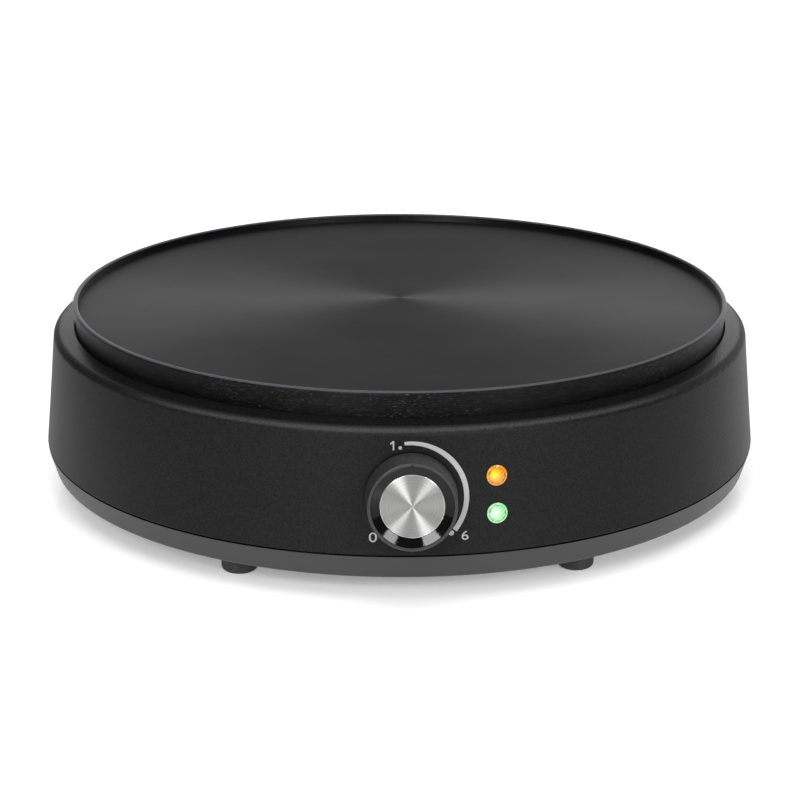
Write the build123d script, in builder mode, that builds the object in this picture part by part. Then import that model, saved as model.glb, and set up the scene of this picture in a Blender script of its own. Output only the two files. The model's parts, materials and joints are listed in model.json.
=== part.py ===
from build123d import *
from math import asin, cos, degrees, radians, sin, sqrt, tan
import os

# Electric crepe maker: a round cast plate with a heating element on a moulded housing,
# a thermostat with a turning knob and two indicator lamps at the front.
# Millimetres, +Z up. The origin is on the worktop under the plate's centre, -Y is the front.
# Angles round the body are measured from the front towards +X.

# Heights, from the worktop up
foot_drop = 11.4  # worktop to the base cover's underside
cover_height = 11.0  # base cover's visible band
seam_gap = 0.6  # shadow line between base cover and housing
housing_height = 57.4  # housing's bottom edge to its ledge
plate_rise = 11.6  # ledge to the plate's rim

# Housing and base cover
wall = 2.6
wall_lean = 5.6  # degrees from upright
wall_diameter = 349.8  # at the housing's bottom edge
ledge_fall = 1.5  # the ledge drops this much from the plate to its outer edge
ledge_round = 4.0
collar_lip = 1.0  # inner collar below the shelf that the seal sits on
seat_shelf = 2.4  # seat wider than the skirt, inwards
cover_inset = 0.2  # base cover's top edge inside the housing's bottom edge
cover_taper = 3.2  # base cover draws in this much to its underside
spigot_height = 5.0
spigot_wall = 2.2
spigot_clearance = 0.3
groove_depth = 1.2  # depth of the shadow line
edge_round = 0.6
cover_round = 1.5  # base cover's lower edge

# Baking plate
plate_setback = 14.9  # plate's rim inside the wall's bottom edge
plate_draft = 1.5  # the plate's wall draws in this much from rim to skirt
plate_thickness = 4.0
rim_height = 3.5  # rim above the cooking surface
rim_width = 2.6
rim_draft = 0.8
rim_round = 1.15
bed_round = 1.5  # inside corner between rim and cooking surface
skirt_width = 4.0
skirt_reach = 1.6  # skirt below the ledge
plate_gap = 0.8  # air gap between skirt and housing
seal_thickness = 2.0

# Feet
foot_diameter = 16.5
foot_round = 2.4
foot_setback = 23.0  # feet's centres inside the wall's bottom edge
foot_angle = 29.8
foot_stem_diameter = 6.0
foot_barb_diameter = 9.0
foot_barb_height = 3.0

# Heating element, pressed into a ridge under the plate
element_circle = 105.0
element_diameter = 6.6
element_depth = 5.5  # its centre below the plate's underside
element_bend = 8.0
element_offset = 22.0  # the ring's ends, sideways from the gap's centre
element_leg_end = 56.0  # height of the legs' ends
ridge_width = 11.0
ridge_lip = 1.5  # ridge below the element's centre
ridge_gap = 16.0  # half of the ridge's gap, degrees
insulator_height = 3.0

# Heat shield and the stacks that carry the plate
shield_thickness = 0.8
shield_height = 62.0
shield_diameter = 268.0
shield_rim = 6.5
shield_hole_diameter = 13.0
washer_thickness = 0.8
stack_circle = 70.0
stack_angles = (60, 180, 300)
plate_boss_diameter = 14.0
tower_diameter = 16.0
tower_height = 44.0
tower_web = 6.0  # solid end of the tower over the screw's recess
spacer_diameter = 9.0
plate_screw_diameter = 4.0
plate_screw_head = 7.6
plate_screw_head_height = 3.0
plate_screw_bite = 11.0  # into the plate's boss
plate_screw_room = 1.0  # blind hole beyond the screw's tip
screw_clearance = 0.2  # on a screw's radius in a through hole
thread_clearance = 0.05  # on a screw's radius in its own thread

# Screws that join housing and base cover
joint_setback = 15.7  # screws inside the wall's bottom edge
joint_angles = (55, 125, 235, 305)
joint_boss_diameter = 9.0
joint_post_diameter = 11.0
joint_split_rise = 1.7  # post's top above the housing's bottom edge
joint_boss_height = 24.0
joint_screw_diameter = 3.5
joint_screw_head = 7.0
joint_screw_head_height = 2.4
joint_screw_recess = 4.4
joint_screw_length = 16.0
gusset_width = 3.0
gusset_rise = 1.0  # gusset above the base cover's spigot
gusset_root = 1.0  # gusset's end inside the wall

# Ventilation slots in the base cover
vent_circle = 108.0
vent_length = 30.0
vent_width = 4.0
vent_angles = (52, 66, 80, 94, 108, 122)

# Dial position and thermostat, measured from the wall's outer face along the knob's axis
dial_rise = 25.7  # knob's axis above the housing's bottom edge
pad_depth = 5.0  # wall's outer face to the flat pad inside
pad_margin = 3.0  # pad beyond the thermostat, each side
pad_root = 0.2  # pad's overlap with the wall that carries it
thermostat_width = 42.0
thermostat_height = 34.0
thermostat_depth = 24.0
thermostat_corner = 2.0
thermostat_plate_thickness = 1.0
thermostat_plate_margin = 1.0  # plate beyond the thermostat's body, each side
thermostat_plate_corner = 3.0
thermostat_screw_pitch = 28.0
thermostat_screw_diameter = 3.9
thermostat_screw_head = 7.0
thermostat_screw_head_height = 2.2
thermostat_screw_recess = 1.6
thermostat_screw_bite = 3.0
screw_hole_room = 0.5  # small blind holes beyond their screws' tips
bush_diameter = 9.0
bush_length = 5.0
bush_flange_diameter = 12.0
bush_flange_thickness = 1.0
spindle_diameter = 6.0
spindle_flat = 1.5  # its flat, from the axis
spindle_clearance = 0.05  # on the radius, running fit
spindle_setback = 1.6  # spindle's end behind the knob's web
cam_diameter = 13.0
cam_thickness = 2.0
cam_gap = 0.4
cavity_clearance = 1.0  # round the cam
cavity_depth = 7.0

# Knob
knob_gap = 0.5
knob_diameter = 39.8
knob_draft = 0.75  # the knob's wall draws in this much towards the front
knob_length = 15.2
knob_edge_round = 0.6
knob_skirt = 1.9  # thickness of its wall at the rear
knob_bore_draft = 0.4
knob_hub_diameter = 11.0
knob_hub_setback = 1.0
knob_recess = 2.8  # front edge to the web that carries ring and cap
knob_web = 1.6
knob_lip = 1.4  # front edge round the ring
ring_width = 3.8
ring_height = 2.6
ring_dish = 1.65  # the ring's face falls this much towards the cap
cap_height = 0.9
cap_bevel = 0.3
trim_clearance = 0.05
pointer_width = 1.0
pointer_depth = 0.35
pointer_overrun = 1.0  # the notch cuts this far past the lip, both ways
clip_thickness = 0.5
clip_height = 4.0
clip_setback = 2.0  # behind the knob's web

# Indicator lamps
lamp_angle = 12.3
lamp_pitch = 16.7
lens_diameter = 9.4
lens_rim = 0.6
lens_dome = 1.3
lens_lip = 0.6  # rim beyond the lens's body
lens_length = 9.0
lens_hole_clearance = 0.1
lens_wall = 0.9
retainer_width = 1.7
retainer_thickness = 0.6
lamp_start = 2.0
lamp_length = 17.0
lamp_clearance = 0.2
lamp_tip_round = 2.4
holder_depth = 14.0  # wall's outer face to the holder's front
holder_thickness = 2.5
holder_corner = 2.0
holder_margin = 5.0  # round the lamps and the screw
holder_end_margin = 6.3
holder_boss_offset = 10.0
holder_boss_diameter = 6.4
holder_screw_diameter = 2.4
holder_screw_head = 4.4
holder_screw_head_height = 1.8
holder_screw_length = 9.0

# Cord inlet at the rear
gland_rise = 15.7  # its axis above the housing's bottom edge
gland_bore_diameter = 7.2
gland_body_diameter = 11.8
gland_hole_clearance = 0.1
gland_flange_diameter = 19.0
gland_flange_thickness = 2.2
gland_flange_slope = 1.2
gland_lock_diameter = 14.4
gland_lock_gap = 0.4
gland_lock_length = 2.2
gland_tail_diameter = 10.4
gland_tail = 5.0

# Terminal block
block_distance = 122.0  # its centre behind the plate's axis
block_length = 18.0
block_height = 14.0
block_boss_height = 4.0
block_boss_diameter = 7.0
pole_pitch = 9.0
pole_count = 4
block_end_margin = 0.5
sleeve_diameter = 4.5
sleeve_inset = 1.0
sleeve_grip = 4.0  # wire inside its sleeve
clamp_hole_diameter = 3.2
block_screw_diameter = 3.0
block_screw_head = 5.4
block_screw_head_height = 1.8
block_screw_setback = 1.0  # screw's tip above the floor

# Capillary sensor under the plate
bulb_diameter = 4.6
bulb_round = 0.9
bulb_start = 26.0
bulb_end = 80.0
bulb_angle = -25.0
capillary_diameter = 1.6
capillary_clearance = 1.5
capillary_exit_depth = 6.0  # behind the thermostat's front
strap_thickness = 0.8
strap_width = 8.0
strap_pitch = 17.0
strap_clearance = 0.05
strap_end_margin = 1.0  # strap beyond the screws' heads
strap_pad_height = 3.0
strap_pad_diameter = 8.0
strap_screw_diameter = 2.6
strap_screw_head = 5.0
strap_screw_head_height = 1.6
strap_screw_bite = 4.5

# Thermal fuse on the shield
fuse_diameter = 4.0
fuse_length = 12.0
fuse_lead_diameter = 1.0
fuse_sleeve_wall = 0.6
fuse_sleeve_length = 30.0
fuse_x = 78.0
fuse_y = 35.0
fuse_rivet_diameter = 2.4
fuse_rivet_head = 4.4
fuse_rivet_head_height = 0.8
fuse_rivet_gap = 1.2  # rivet's head to the sleeve
fuse_strap_margin = 0.5

# Wiring
wire_diameter = 2.6
wire_clearance = 0.1  # in connectors, sleeves and tags
wire_rise = 3.8  # wires' centres above the floor of the base cover
lead_diameter = 1.0
lead_gap = 0.2  # between the two leads in the splice
lead_pin_offset = 1.2
tab_width = 6.3
tab_thickness = 0.8
tab_length = 8.0
tab_pitch = 20.0  # between the thermostat's two tabs
connector_edge = 0.55  # brass beside the tab
connector_shell = 0.4  # brass round the wire
connector_start = 1.0
connector_length = 15.0
connector_bore_depth = 5.0
tag_diameter = 10.0
tag_width = 5.0
tag_barrel_start = 14.0
tag_barrel_length = 6.0
tag_barrel_wall = 0.6
tag_overlap = 1.0  # tag's strip into its barrel
tag_grip = 4.0  # wire inside the barrel
splice_diameter = 5.2
splice_length = 16.0
splice_start = 32.0  # from the wall's outer face
splice_offset = 4.0
splice_grip = 4.5  # wire and leads inside the splice

# Heights and radii that follow
base_z = foot_drop
floor_z = base_z + wall
cover_z = base_z + cover_height
housing_z = cover_z + seam_gap
ledge_z = housing_z + housing_height
rim_z = ledge_z + plate_rise
cooking_z = rim_z - rim_height
underside_z = cooking_z - plate_thickness
skirt_z = ledge_z - skirt_reach
seat_z = skirt_z - seal_thickness
spigot_z = housing_z + spigot_height
joint_split_z = housing_z + joint_split_rise
joint_boss_top = joint_split_z + joint_boss_height
dial_height = housing_z + dial_rise
gland_height = housing_z + gland_rise
collar_z = seat_z - wall - collar_lip
housing_r = wall_diameter / 2
plate_r = housing_r - plate_setback
foot_circle = housing_r - foot_setback
joint_circle = housing_r - joint_setback
skirt_r = plate_r - plate_draft
skirt_inner_r = skirt_r - skirt_width
ledge_r = skirt_r + plate_gap
seat_r = skirt_inner_r - seat_shelf
element_z = underside_z - element_depth
shield_top_z = shield_height + shield_thickness
washer_z = shield_height - washer_thickness
lean_slope = tan(radians(wall_lean))
slant_wall = wall / cos(radians(wall_lean))

BOTTOM = (Align.CENTER, Align.CENTER, Align.MIN)
TOP = (Align.CENTER, Align.CENTER, Align.MAX)

os.makedirs("parts", exist_ok=True)


def save(piece, label):
    """Name a finished piece and write its STEP file."""
    piece.part.label = label
    export_step(piece.part, f"parts/{label}.step")


def wall_radius(height):
    """Radius of the housing's outer wall at a height."""
    return housing_r - (height - housing_z) * lean_slope


def around(radius, angle, height=0.0):
    """Place at an angle round the body, turned so that local -Y points outwards."""
    turn = radians(angle)
    return Location((radius * sin(turn), -radius * cos(turn), height), (0, 0, angle))


def wall_plane(angle, height):
    """Plane that lies on the housing's outer wall and faces outwards."""
    turn, lean = radians(angle), radians(wall_lean)
    radius = wall_radius(height)
    return Plane(
        origin=(radius * sin(turn), -radius * cos(turn), height),
        x_dir=(cos(turn), sin(turn), 0),
        z_dir=(sin(turn) * cos(lean), -cos(turn) * cos(lean), sin(lean)),
    )


def section_plane(plane):
    """Plane through another one's normal: its X is shared, its Y is that normal."""
    return Plane(origin=plane.origin, x_dir=plane.x_dir, z_dir=plane.y_dir * -1)


def normal_axis(plane):
    """Axis through a plane's origin along its normal."""
    return Axis(plane.origin, plane.z_dir)


def bend_radii(points):
    """Largest tangent arc for each corner of a route."""
    radii = []
    for before, here, after in zip(points, points[1:], points[2:]):
        run_in, run_out = here - before, after - here
        turn = radians(run_in.get_angle(run_out))
        radii.append(0.45 * min(run_in.length, run_out.length) / tan(turn / 2))
    return radii


def cable(points, diameter):
    """Round cable along straight runs joined by tangent arcs."""
    points = [Vector(point) for point in points]
    with BuildPart() as tube:
        with BuildLine() as route:
            FilletPolyline(*points, radius=bend_radii(points))
        with BuildSketch(Plane(origin=points[0], z_dir=points[1] - points[0])):
            Circle(diameter / 2)
        sweep(path=route.wires()[0])
    return tube


dial = wall_plane(0, dial_height)
dial_section = section_plane(dial)
dial_axis = normal_axis(dial)
lamp_deck = wall_plane(lamp_angle, dial_height)
gland_plane = wall_plane(180, gland_height)

# ---------------------------------------------------------------- baking plate
bulb_radius = bulb_diameter / 2
bulb_z = underside_z - bulb_radius
strap_middle = (bulb_start + bulb_end) / 2
strap_spots = [
    around(strap_middle, bulb_angle) * Location((side * strap_pitch / 2, 0, 0)) for side in (-1, 1)
]
stack_spots = [around(stack_circle, angle) for angle in stack_angles]

with BuildPart() as baking_plate:
    with BuildSketch(Plane.XZ) as plate_section:
        with BuildLine():
            Polyline(
                (0, cooking_z),
                (plate_r - rim_width - rim_draft, cooking_z),
                (plate_r - rim_width, rim_z),
                (plate_r, rim_z),
                (skirt_r, skirt_z),
                (skirt_inner_r, skirt_z),
                (skirt_inner_r, underside_z),
                (0, underside_z),
                close=True,
            )
        make_face()
        rim_corners = plate_section.vertices().group_by(Axis.Y)[-1]
        fillet(rim_corners, radius=rim_round)
        inner_corner = plate_section.vertices().group_by(Axis.Y)[-3].sort_by(Axis.X)[-1]
        fillet(inner_corner, radius=bed_round)
    revolve(axis=Axis.Z)
    ridge_turn = radians(90 + ridge_gap)
    ridge_plane = Plane(
        origin=(0, 0, 0),
        x_dir=(cos(ridge_turn), sin(ridge_turn), 0),
        z_dir=(sin(ridge_turn), -cos(ridge_turn), 0),
    )
    with BuildSketch(ridge_plane):
        with Locations((element_circle, element_z - ridge_lip)):
            Rectangle(ridge_width, element_depth + ridge_lip, align=(Align.CENTER, Align.MIN))
        with Locations((element_circle, element_z)):
            Circle(element_diameter / 2 + thread_clearance, mode=Mode.SUBTRACT)
    revolve(axis=Axis.Z, revolution_arc=360 - 2 * ridge_gap)
    with Locations(*[spot * Location((0, 0, shield_top_z)) for spot in stack_spots]):
        Cylinder(plate_boss_diameter / 2, underside_z - shield_top_z, align=BOTTOM)
    with Locations(*[spot * Location((0, 0, underside_z)) for spot in strap_spots]):
        Cylinder(strap_pad_diameter / 2, strap_pad_height, align=TOP)
    with Locations(*[spot * Location((0, 0, shield_top_z)) for spot in stack_spots]):
        Cylinder(
            plate_screw_diameter / 2 + thread_clearance,
            plate_screw_bite + plate_screw_room,
            align=BOTTOM,
            mode=Mode.SUBTRACT,
        )
    with Locations(*[spot * Location((0, 0, underside_z - strap_pad_height)) for spot in strap_spots]):
        Cylinder(
            strap_screw_diameter / 2 + thread_clearance,
            strap_screw_bite + screw_hole_room,
            align=BOTTOM,
            mode=Mode.SUBTRACT,
        )
save(baking_plate, "baking_plate")

# Silicone ring that the skirt stands on
with BuildPart() as plate_seal:
    with BuildSketch(Plane.XY.offset(seat_z)):
        Circle(skirt_r)
        Circle(skirt_inner_r, mode=Mode.SUBTRACT)
    extrude(amount=seal_thickness)
save(plate_seal, "plate_seal")

# ---------------------------------------------------------------- heating element
element_start = degrees(asin(element_offset / element_circle))
with BuildPart() as heating_element:
    with BuildLine() as element_route:
        ring = CenterArc(
            (0, 0, element_z), element_circle, 90 + element_start, 360 - 2 * element_start
        )
        legs = []
        for end, way in ((ring @ 0, (ring % 0) * -1), (ring @ 1, ring % 1)):
            bend_end = end + way * element_bend - Vector(0, 0, element_bend)
            bend = TangentArc(end, bend_end, tangent=way)
            leg = Line(bend @ 1, Vector(bend_end.X, bend_end.Y, element_leg_end))
            legs.append(leg @ 1)
    with BuildSketch(Plane(origin=legs[0], z_dir=(0, 0, 1))):
        Circle(element_diameter / 2)
    sweep(path=element_route.wires()[0])
save(heating_element, "heating_element")

# Planes at the roots of the four push-on tabs: each faces the way its tab points
element_tabs = [
    Plane(origin=leg - Vector(0, 0, insulator_height), x_dir=(1, 0, 0), z_dir=(0, 0, -1))
    for leg in legs
]
thermostat_front = pad_depth + thermostat_plate_thickness
thermostat_back = thermostat_front + thermostat_depth
thermostat_tabs = [
    Plane(
        origin=dial.from_local_coords((side * tab_pitch / 2, 0, -thermostat_back)),
        x_dir=dial.x_dir,
        z_dir=dial.z_dir * -1,
    )
    for side in (-1, 1)
]

with BuildPart() as element_insulators:
    for leg in legs:
        with BuildSketch(Plane(origin=leg, z_dir=(0, 0, -1))):
            Circle(element_diameter / 2)
        extrude(amount=insulator_height)
save(element_insulators, "element_insulators")

with BuildPart() as element_tab_blades:
    for tab in element_tabs:
        with BuildSketch(tab):
            Rectangle(tab_thickness, tab_width)
        extrude(amount=tab_length)
save(element_tab_blades, "element_tabs")

# ---------------------------------------------------------------- heat shield and stacks
with BuildPart() as heat_shield:
    with BuildSketch(Plane.XY.offset(shield_height)):
        Circle(shield_diameter / 2)
    extrude(amount=shield_rim)
    with BuildSketch(Plane.XY.offset(shield_top_z)):
        Circle(shield_diameter / 2 - shield_thickness)
    extrude(amount=shield_rim, mode=Mode.SUBTRACT)
    with Locations(*[spot * Location((0, 0, shield_height)) for spot in stack_spots]):
        Cylinder(
            plate_screw_diameter / 2 + screw_clearance,
            shield_thickness,
            align=BOTTOM,
            mode=Mode.SUBTRACT,
        )
    with Locations(*[Location((leg.X, leg.Y, shield_height)) for leg in legs]):
        Cylinder(shield_hole_diameter / 2, shield_thickness, align=BOTTOM, mode=Mode.SUBTRACT)
    fuse_rivet_pitch = fuse_diameter + 2 * fuse_sleeve_wall + fuse_rivet_head + 2 * fuse_rivet_gap
    fuse_rivet_spots = [
        Location((fuse_x + side * fuse_rivet_pitch / 2, fuse_y, shield_height)) for side in (-1, 1)
    ]
    with Locations(*fuse_rivet_spots):
        Cylinder(
            fuse_rivet_diameter / 2 + thread_clearance,
            shield_thickness,
            align=BOTTOM,
            mode=Mode.SUBTRACT,
        )
save(heat_shield, "heat_shield")

with BuildPart() as plate_spacers:
    with Locations(*[spot * Location((0, 0, tower_height)) for spot in stack_spots]):
        Cylinder(spacer_diameter / 2, washer_z - tower_height, align=BOTTOM)
        Cylinder(
            plate_screw_diameter / 2 + screw_clearance,
            washer_z - tower_height,
            align=BOTTOM,
            mode=Mode.SUBTRACT,
        )
save(plate_spacers, "plate_spacers")

# The rear stack clamps the earth tag, the other two clamp plain washers
with BuildPart() as shield_washers:
    with Locations(*[stack_spots[i] * Location((0, 0, washer_z)) for i in (0, 2)]):
        Cylinder(tag_diameter / 2, washer_thickness, align=BOTTOM)
        Cylinder(
            plate_screw_diameter / 2 + screw_clearance,
            washer_thickness,
            align=BOTTOM,
            mode=Mode.SUBTRACT,
        )
save(shield_washers, "shield_washers")

tag_barrel_r = wire_diameter / 2 + wire_clearance + tag_barrel_wall
tag_z = shield_height - tag_barrel_r
tag_start = stack_circle + tag_barrel_start
with BuildPart() as earth_tag:
    with BuildSketch(Plane.XY.offset(washer_z)):
        with Locations((0, stack_circle)):
            Circle(tag_diameter / 2)
            Rectangle(tag_width, tag_barrel_start + tag_overlap, align=(Align.CENTER, Align.MIN))
            Circle(plate_screw_diameter / 2 + screw_clearance, mode=Mode.SUBTRACT)
    extrude(amount=washer_thickness)
    with BuildSketch(Plane(origin=(0, tag_start, tag_z), z_dir=(0, 1, 0))):
        Circle(tag_barrel_r)
    extrude(amount=tag_barrel_length)
    with BuildSketch(Plane(origin=(0, tag_start + tag_overlap, tag_z), z_dir=(0, 1, 0))):
        Circle(wire_diameter / 2 + wire_clearance)
    extrude(amount=tag_barrel_length, mode=Mode.SUBTRACT)
save(earth_tag, "earth_tag")

screw_seat_z = tower_height - tower_web
with BuildPart() as plate_screws:
    with Locations(*[spot * Location((0, 0, screw_seat_z)) for spot in stack_spots]):
        Cylinder(plate_screw_head / 2, plate_screw_head_height, align=TOP)
        Cylinder(
            plate_screw_diameter / 2,
            shield_top_z + plate_screw_bite - screw_seat_z,
            align=BOTTOM,
        )
save(plate_screws, "plate_screws")

# ---------------------------------------------------------------- upper housing
corner_z = ledge_z - ledge_fall
corner_r = wall_radius(corner_z)
ledge_slope = ledge_fall / (corner_r - ledge_r)
inner_corner_z = corner_z - wall - ledge_fall / 2
inner_wall_r = wall_radius(housing_z) - slant_wall
inner_corner_r = wall_radius(inner_corner_z) - slant_wall
dial_r = wall_radius(dial_height)
pad_width = thermostat_width + 2 * pad_margin
pad_height = thermostat_height + 2 * pad_margin
pad_sag = dial_r - sqrt(dial_r**2 - (pad_width / 2) ** 2)
joint_spots = [around(joint_circle, angle) for angle in joint_angles]
lens_body_r = lens_diameter / 2 - lens_lip
lamp_r = lens_body_r - lens_wall - lamp_clearance

with BuildPart() as upper_housing:
    with BuildSketch(Plane.XZ) as housing_section:
        with BuildLine():
            Polyline(
                (housing_r, housing_z),
                (corner_r, corner_z),
                (ledge_r, ledge_z),
                (ledge_r, seat_z),
                (seat_r, seat_z),
                (seat_r, collar_z),
                (seat_r + wall, collar_z),
                (seat_r + wall, seat_z - wall),
                (ledge_r + wall, seat_z - wall),
                (ledge_r + wall, ledge_z - wall * (1 + ledge_slope)),
                (inner_corner_r, inner_corner_z),
                (inner_wall_r, housing_z),
                close=True,
            )
        make_face()
        corners = housing_section.vertices()
        fillet(corners.sort_by_distance((corner_r, corner_z, 0))[0], radius=ledge_round)
        corners = housing_section.vertices()
        fillet(corners.sort_by_distance((ledge_r, ledge_z, 0))[0], radius=edge_round)
        corners = housing_section.vertices()
        fillet(corners.sort_by_distance((housing_r, housing_z, 0))[0], radius=edge_round)
    revolve(axis=Axis.Z)
    # Flat pad for the thermostat
    with BuildSketch(dial.offset(-pad_depth)):
        Rectangle(pad_width, pad_height)
    extrude(amount=pad_depth - pad_sag - pad_root)
    # Screw bosses with their gussets
    with Locations(*[spot * Location((0, 0, joint_split_z)) for spot in joint_spots]):
        Cylinder(joint_boss_diameter / 2, joint_boss_top - joint_split_z, align=BOTTOM)
    gusset_z = spigot_z + gusset_rise
    gusset_reach = wall_radius(joint_boss_top) - slant_wall + gusset_root - joint_circle
    with Locations(*[spot * Location((0, 0, gusset_z)) for spot in joint_spots]):
        Box(
            gusset_width,
            gusset_reach,
            joint_boss_top - gusset_z,
            align=(Align.CENTER, Align.MAX, Align.MIN),
        )
    with Locations(*[spot * Location((0, 0, joint_split_z)) for spot in joint_spots]):
        Cylinder(
            joint_screw_diameter / 2 + thread_clearance,
            joint_screw_length,
            align=BOTTOM,
            mode=Mode.SUBTRACT,
        )
    # Boss for the lamp holder
    with BuildSketch(lamp_deck.offset(-holder_depth)):
        with Locations((holder_boss_offset, 0)):
            Circle(holder_boss_diameter / 2)
    extrude(amount=holder_depth - wall / 2)
    with BuildSketch(lamp_deck.offset(-holder_depth)):
        with Locations((holder_boss_offset, 0)):
            Circle(holder_screw_diameter / 2 + thread_clearance)
    extrude(amount=holder_screw_length - holder_thickness + screw_hole_room, mode=Mode.SUBTRACT)
    # Holes for spindle bush and thermostat screws, with flat recesses for their heads
    with BuildSketch(dial.offset(pad_depth)):
        Circle(bush_diameter / 2 + screw_clearance)
        with GridLocations(thermostat_screw_pitch, 0, 2, 1):
            Circle(thermostat_screw_diameter / 2 + screw_clearance)
    extrude(amount=-3 * pad_depth, mode=Mode.SUBTRACT)
    with BuildSketch(dial.offset(-thermostat_screw_recess)):
        with GridLocations(thermostat_screw_pitch, 0, 2, 1):
            Circle(thermostat_screw_head / 2 + screw_clearance)
    extrude(amount=pad_depth, mode=Mode.SUBTRACT)
    # Holes for the lenses
    with BuildSketch(lamp_deck.offset(wall)):
        with GridLocations(0, lamp_pitch, 1, 2):
            Circle(lens_body_r + lens_hole_clearance)
    extrude(amount=-3 * wall, mode=Mode.SUBTRACT)
    # Hole for the cord inlet
    with BuildSketch(gland_plane.offset(wall)):
        Circle(gland_body_diameter / 2 + gland_hole_clearance)
    extrude(amount=-3 * wall, mode=Mode.SUBTRACT)
save(upper_housing, "upper_housing")

# ---------------------------------------------------------------- base cover
cover_r = housing_r - cover_inset
base_r = cover_r - cover_taper
spigot_r = wall_radius(spigot_z) - slant_wall - spigot_clearance
spigot_inner_r = spigot_r - spigot_wall
foot_spots = [
    around(foot_circle, angle)
    for angle in (-foot_angle, foot_angle, 180 + foot_angle, 180 - foot_angle)
]
hole_pitch = 2 * pole_pitch
block_screw_spots = [
    Location((side * hole_pitch / 2, block_distance, floor_z)) for side in (-1, 1)
]

with BuildPart() as base_cover:
    with BuildSketch(Plane.XZ) as cover_section:
        with BuildLine():
            Polyline(
                (0, base_z),
                (base_r, base_z),
                (cover_r, cover_z),
                (cover_r - groove_depth, cover_z),
                (cover_r - groove_depth, housing_z),
                (spigot_r, housing_z),
                (spigot_r, spigot_z),
                (spigot_inner_r, spigot_z),
                (spigot_inner_r, floor_z + wall),
                (spigot_inner_r - wall, floor_z),
                (0, floor_z),
                close=True,
            )
        make_face()
        edge = cover_section.vertices().sort_by_distance((base_r, base_z, 0))[0]
        fillet(edge, radius=cover_round)
    revolve(axis=Axis.Z)
    with Locations(*[spot * Location((0, 0, base_z)) for spot in stack_spots]):
        Cylinder(tower_diameter / 2, tower_height - base_z, align=BOTTOM)
    with Locations(*[spot * Location((0, 0, base_z)) for spot in joint_spots]):
        Cylinder(joint_post_diameter / 2, joint_split_z - base_z, align=BOTTOM)
    with Locations(*block_screw_spots):
        Cylinder(block_boss_diameter / 2, block_boss_height, align=BOTTOM)
        Cylinder(
            block_screw_diameter / 2 + thread_clearance,
            block_boss_height,
            align=BOTTOM,
            mode=Mode.SUBTRACT,
        )
    with Locations(*[spot * Location((0, 0, base_z)) for spot in stack_spots]):
        Cylinder(
            plate_screw_head / 2 + 2 * screw_clearance,
            screw_seat_z - base_z,
            align=BOTTOM,
            mode=Mode.SUBTRACT,
        )
        Cylinder(
            plate_screw_diameter / 2 + screw_clearance,
            tower_height - base_z,
            align=BOTTOM,
            mode=Mode.SUBTRACT,
        )
    with Locations(*[spot * Location((0, 0, base_z)) for spot in joint_spots]):
        Cylinder(
            joint_screw_head / 2 + 2 * screw_clearance,
            joint_screw_recess,
            align=BOTTOM,
            mode=Mode.SUBTRACT,
        )
        Cylinder(
            joint_screw_diameter / 2 + screw_clearance,
            joint_split_z - base_z,
            align=BOTTOM,
            mode=Mode.SUBTRACT,
        )
    with Locations(*[spot * Location((0, 0, base_z)) for spot in foot_spots]):
        Cylinder(foot_stem_diameter / 2 + thread_clearance, wall, align=BOTTOM, mode=Mode.SUBTRACT)
    vent_spots = [around(vent_circle, side * angle) for side in (-1, 1) for angle in vent_angles]
    with BuildSketch(Plane.XY.offset(base_z)):
        with Locations(*vent_spots):
            SlotOverall(vent_length, vent_width, rotation=90)
    extrude(amount=wall, mode=Mode.SUBTRACT)
save(base_cover, "base_cover")

joint_seat_z = base_z + joint_screw_recess
with BuildPart() as housing_screws:
    with Locations(*[spot * Location((0, 0, joint_seat_z)) for spot in joint_spots]):
        Cylinder(joint_screw_head / 2, joint_screw_head_height, align=TOP)
        Cylinder(joint_screw_diameter / 2, joint_screw_length, align=BOTTOM)
save(housing_screws, "housing_screws")

# ---------------------------------------------------------------- feet
foot_names = ("foot_front_left", "foot_front_right", "foot_rear_left", "foot_rear_right")


def rubber_foot(spot):
    """Push-in foot: tread, stem through the base cover and barb above it."""
    with BuildPart() as foot:
        with Locations(spot):
            Cylinder(foot_diameter / 2, base_z, align=BOTTOM)
        fillet(foot.edges().group_by(Axis.Z)[0], radius=foot_round)
        with Locations(spot * Location((0, 0, base_z))):
            Cylinder(foot_stem_diameter / 2, wall + foot_barb_height, align=BOTTOM)
        with Locations(spot * Location((0, 0, floor_z))):
            Cone(
                foot_barb_diameter / 2, foot_stem_diameter / 2, foot_barb_height, align=BOTTOM
            )
    return foot


for foot_spot, foot_name in zip(foot_spots, foot_names):
    save(rubber_foot(foot_spot), foot_name)

# ---------------------------------------------------------------- cord inlet
with BuildPart() as cord_gland:
    lock_start = wall + gland_lock_gap
    with BuildSketch(section_plane(gland_plane)):
        with BuildLine():
            Polyline(
                (gland_bore_diameter / 2, gland_flange_thickness),
                (gland_flange_diameter / 2 - gland_flange_slope, gland_flange_thickness),
                (gland_flange_diameter / 2, gland_flange_thickness / 2),
                (gland_flange_diameter / 2, 0),
                (gland_body_diameter / 2, 0),
                (gland_body_diameter / 2, -lock_start),
                (gland_lock_diameter / 2, -lock_start),
                (gland_tail_diameter / 2, -lock_start - gland_lock_length),
                (gland_tail_diameter / 2, -lock_start - gland_lock_length - gland_tail),
                (gland_bore_diameter / 2, -lock_start - gland_lock_length - gland_tail),
                close=True,
            )
        make_face()
    revolve(axis=normal_axis(gland_plane))
save(cord_gland, "cord_gland")

# ---------------------------------------------------------------- terminal block
block_z = floor_z + block_boss_height
pole_z = block_z + block_height / 2
block_width = pole_pitch * pole_count + 2 * block_end_margin
pole_xs = [(i - (pole_count - 1) / 2) * pole_pitch for i in range(pole_count)]
sleeve_start = block_distance - block_length / 2 + sleeve_inset

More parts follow.
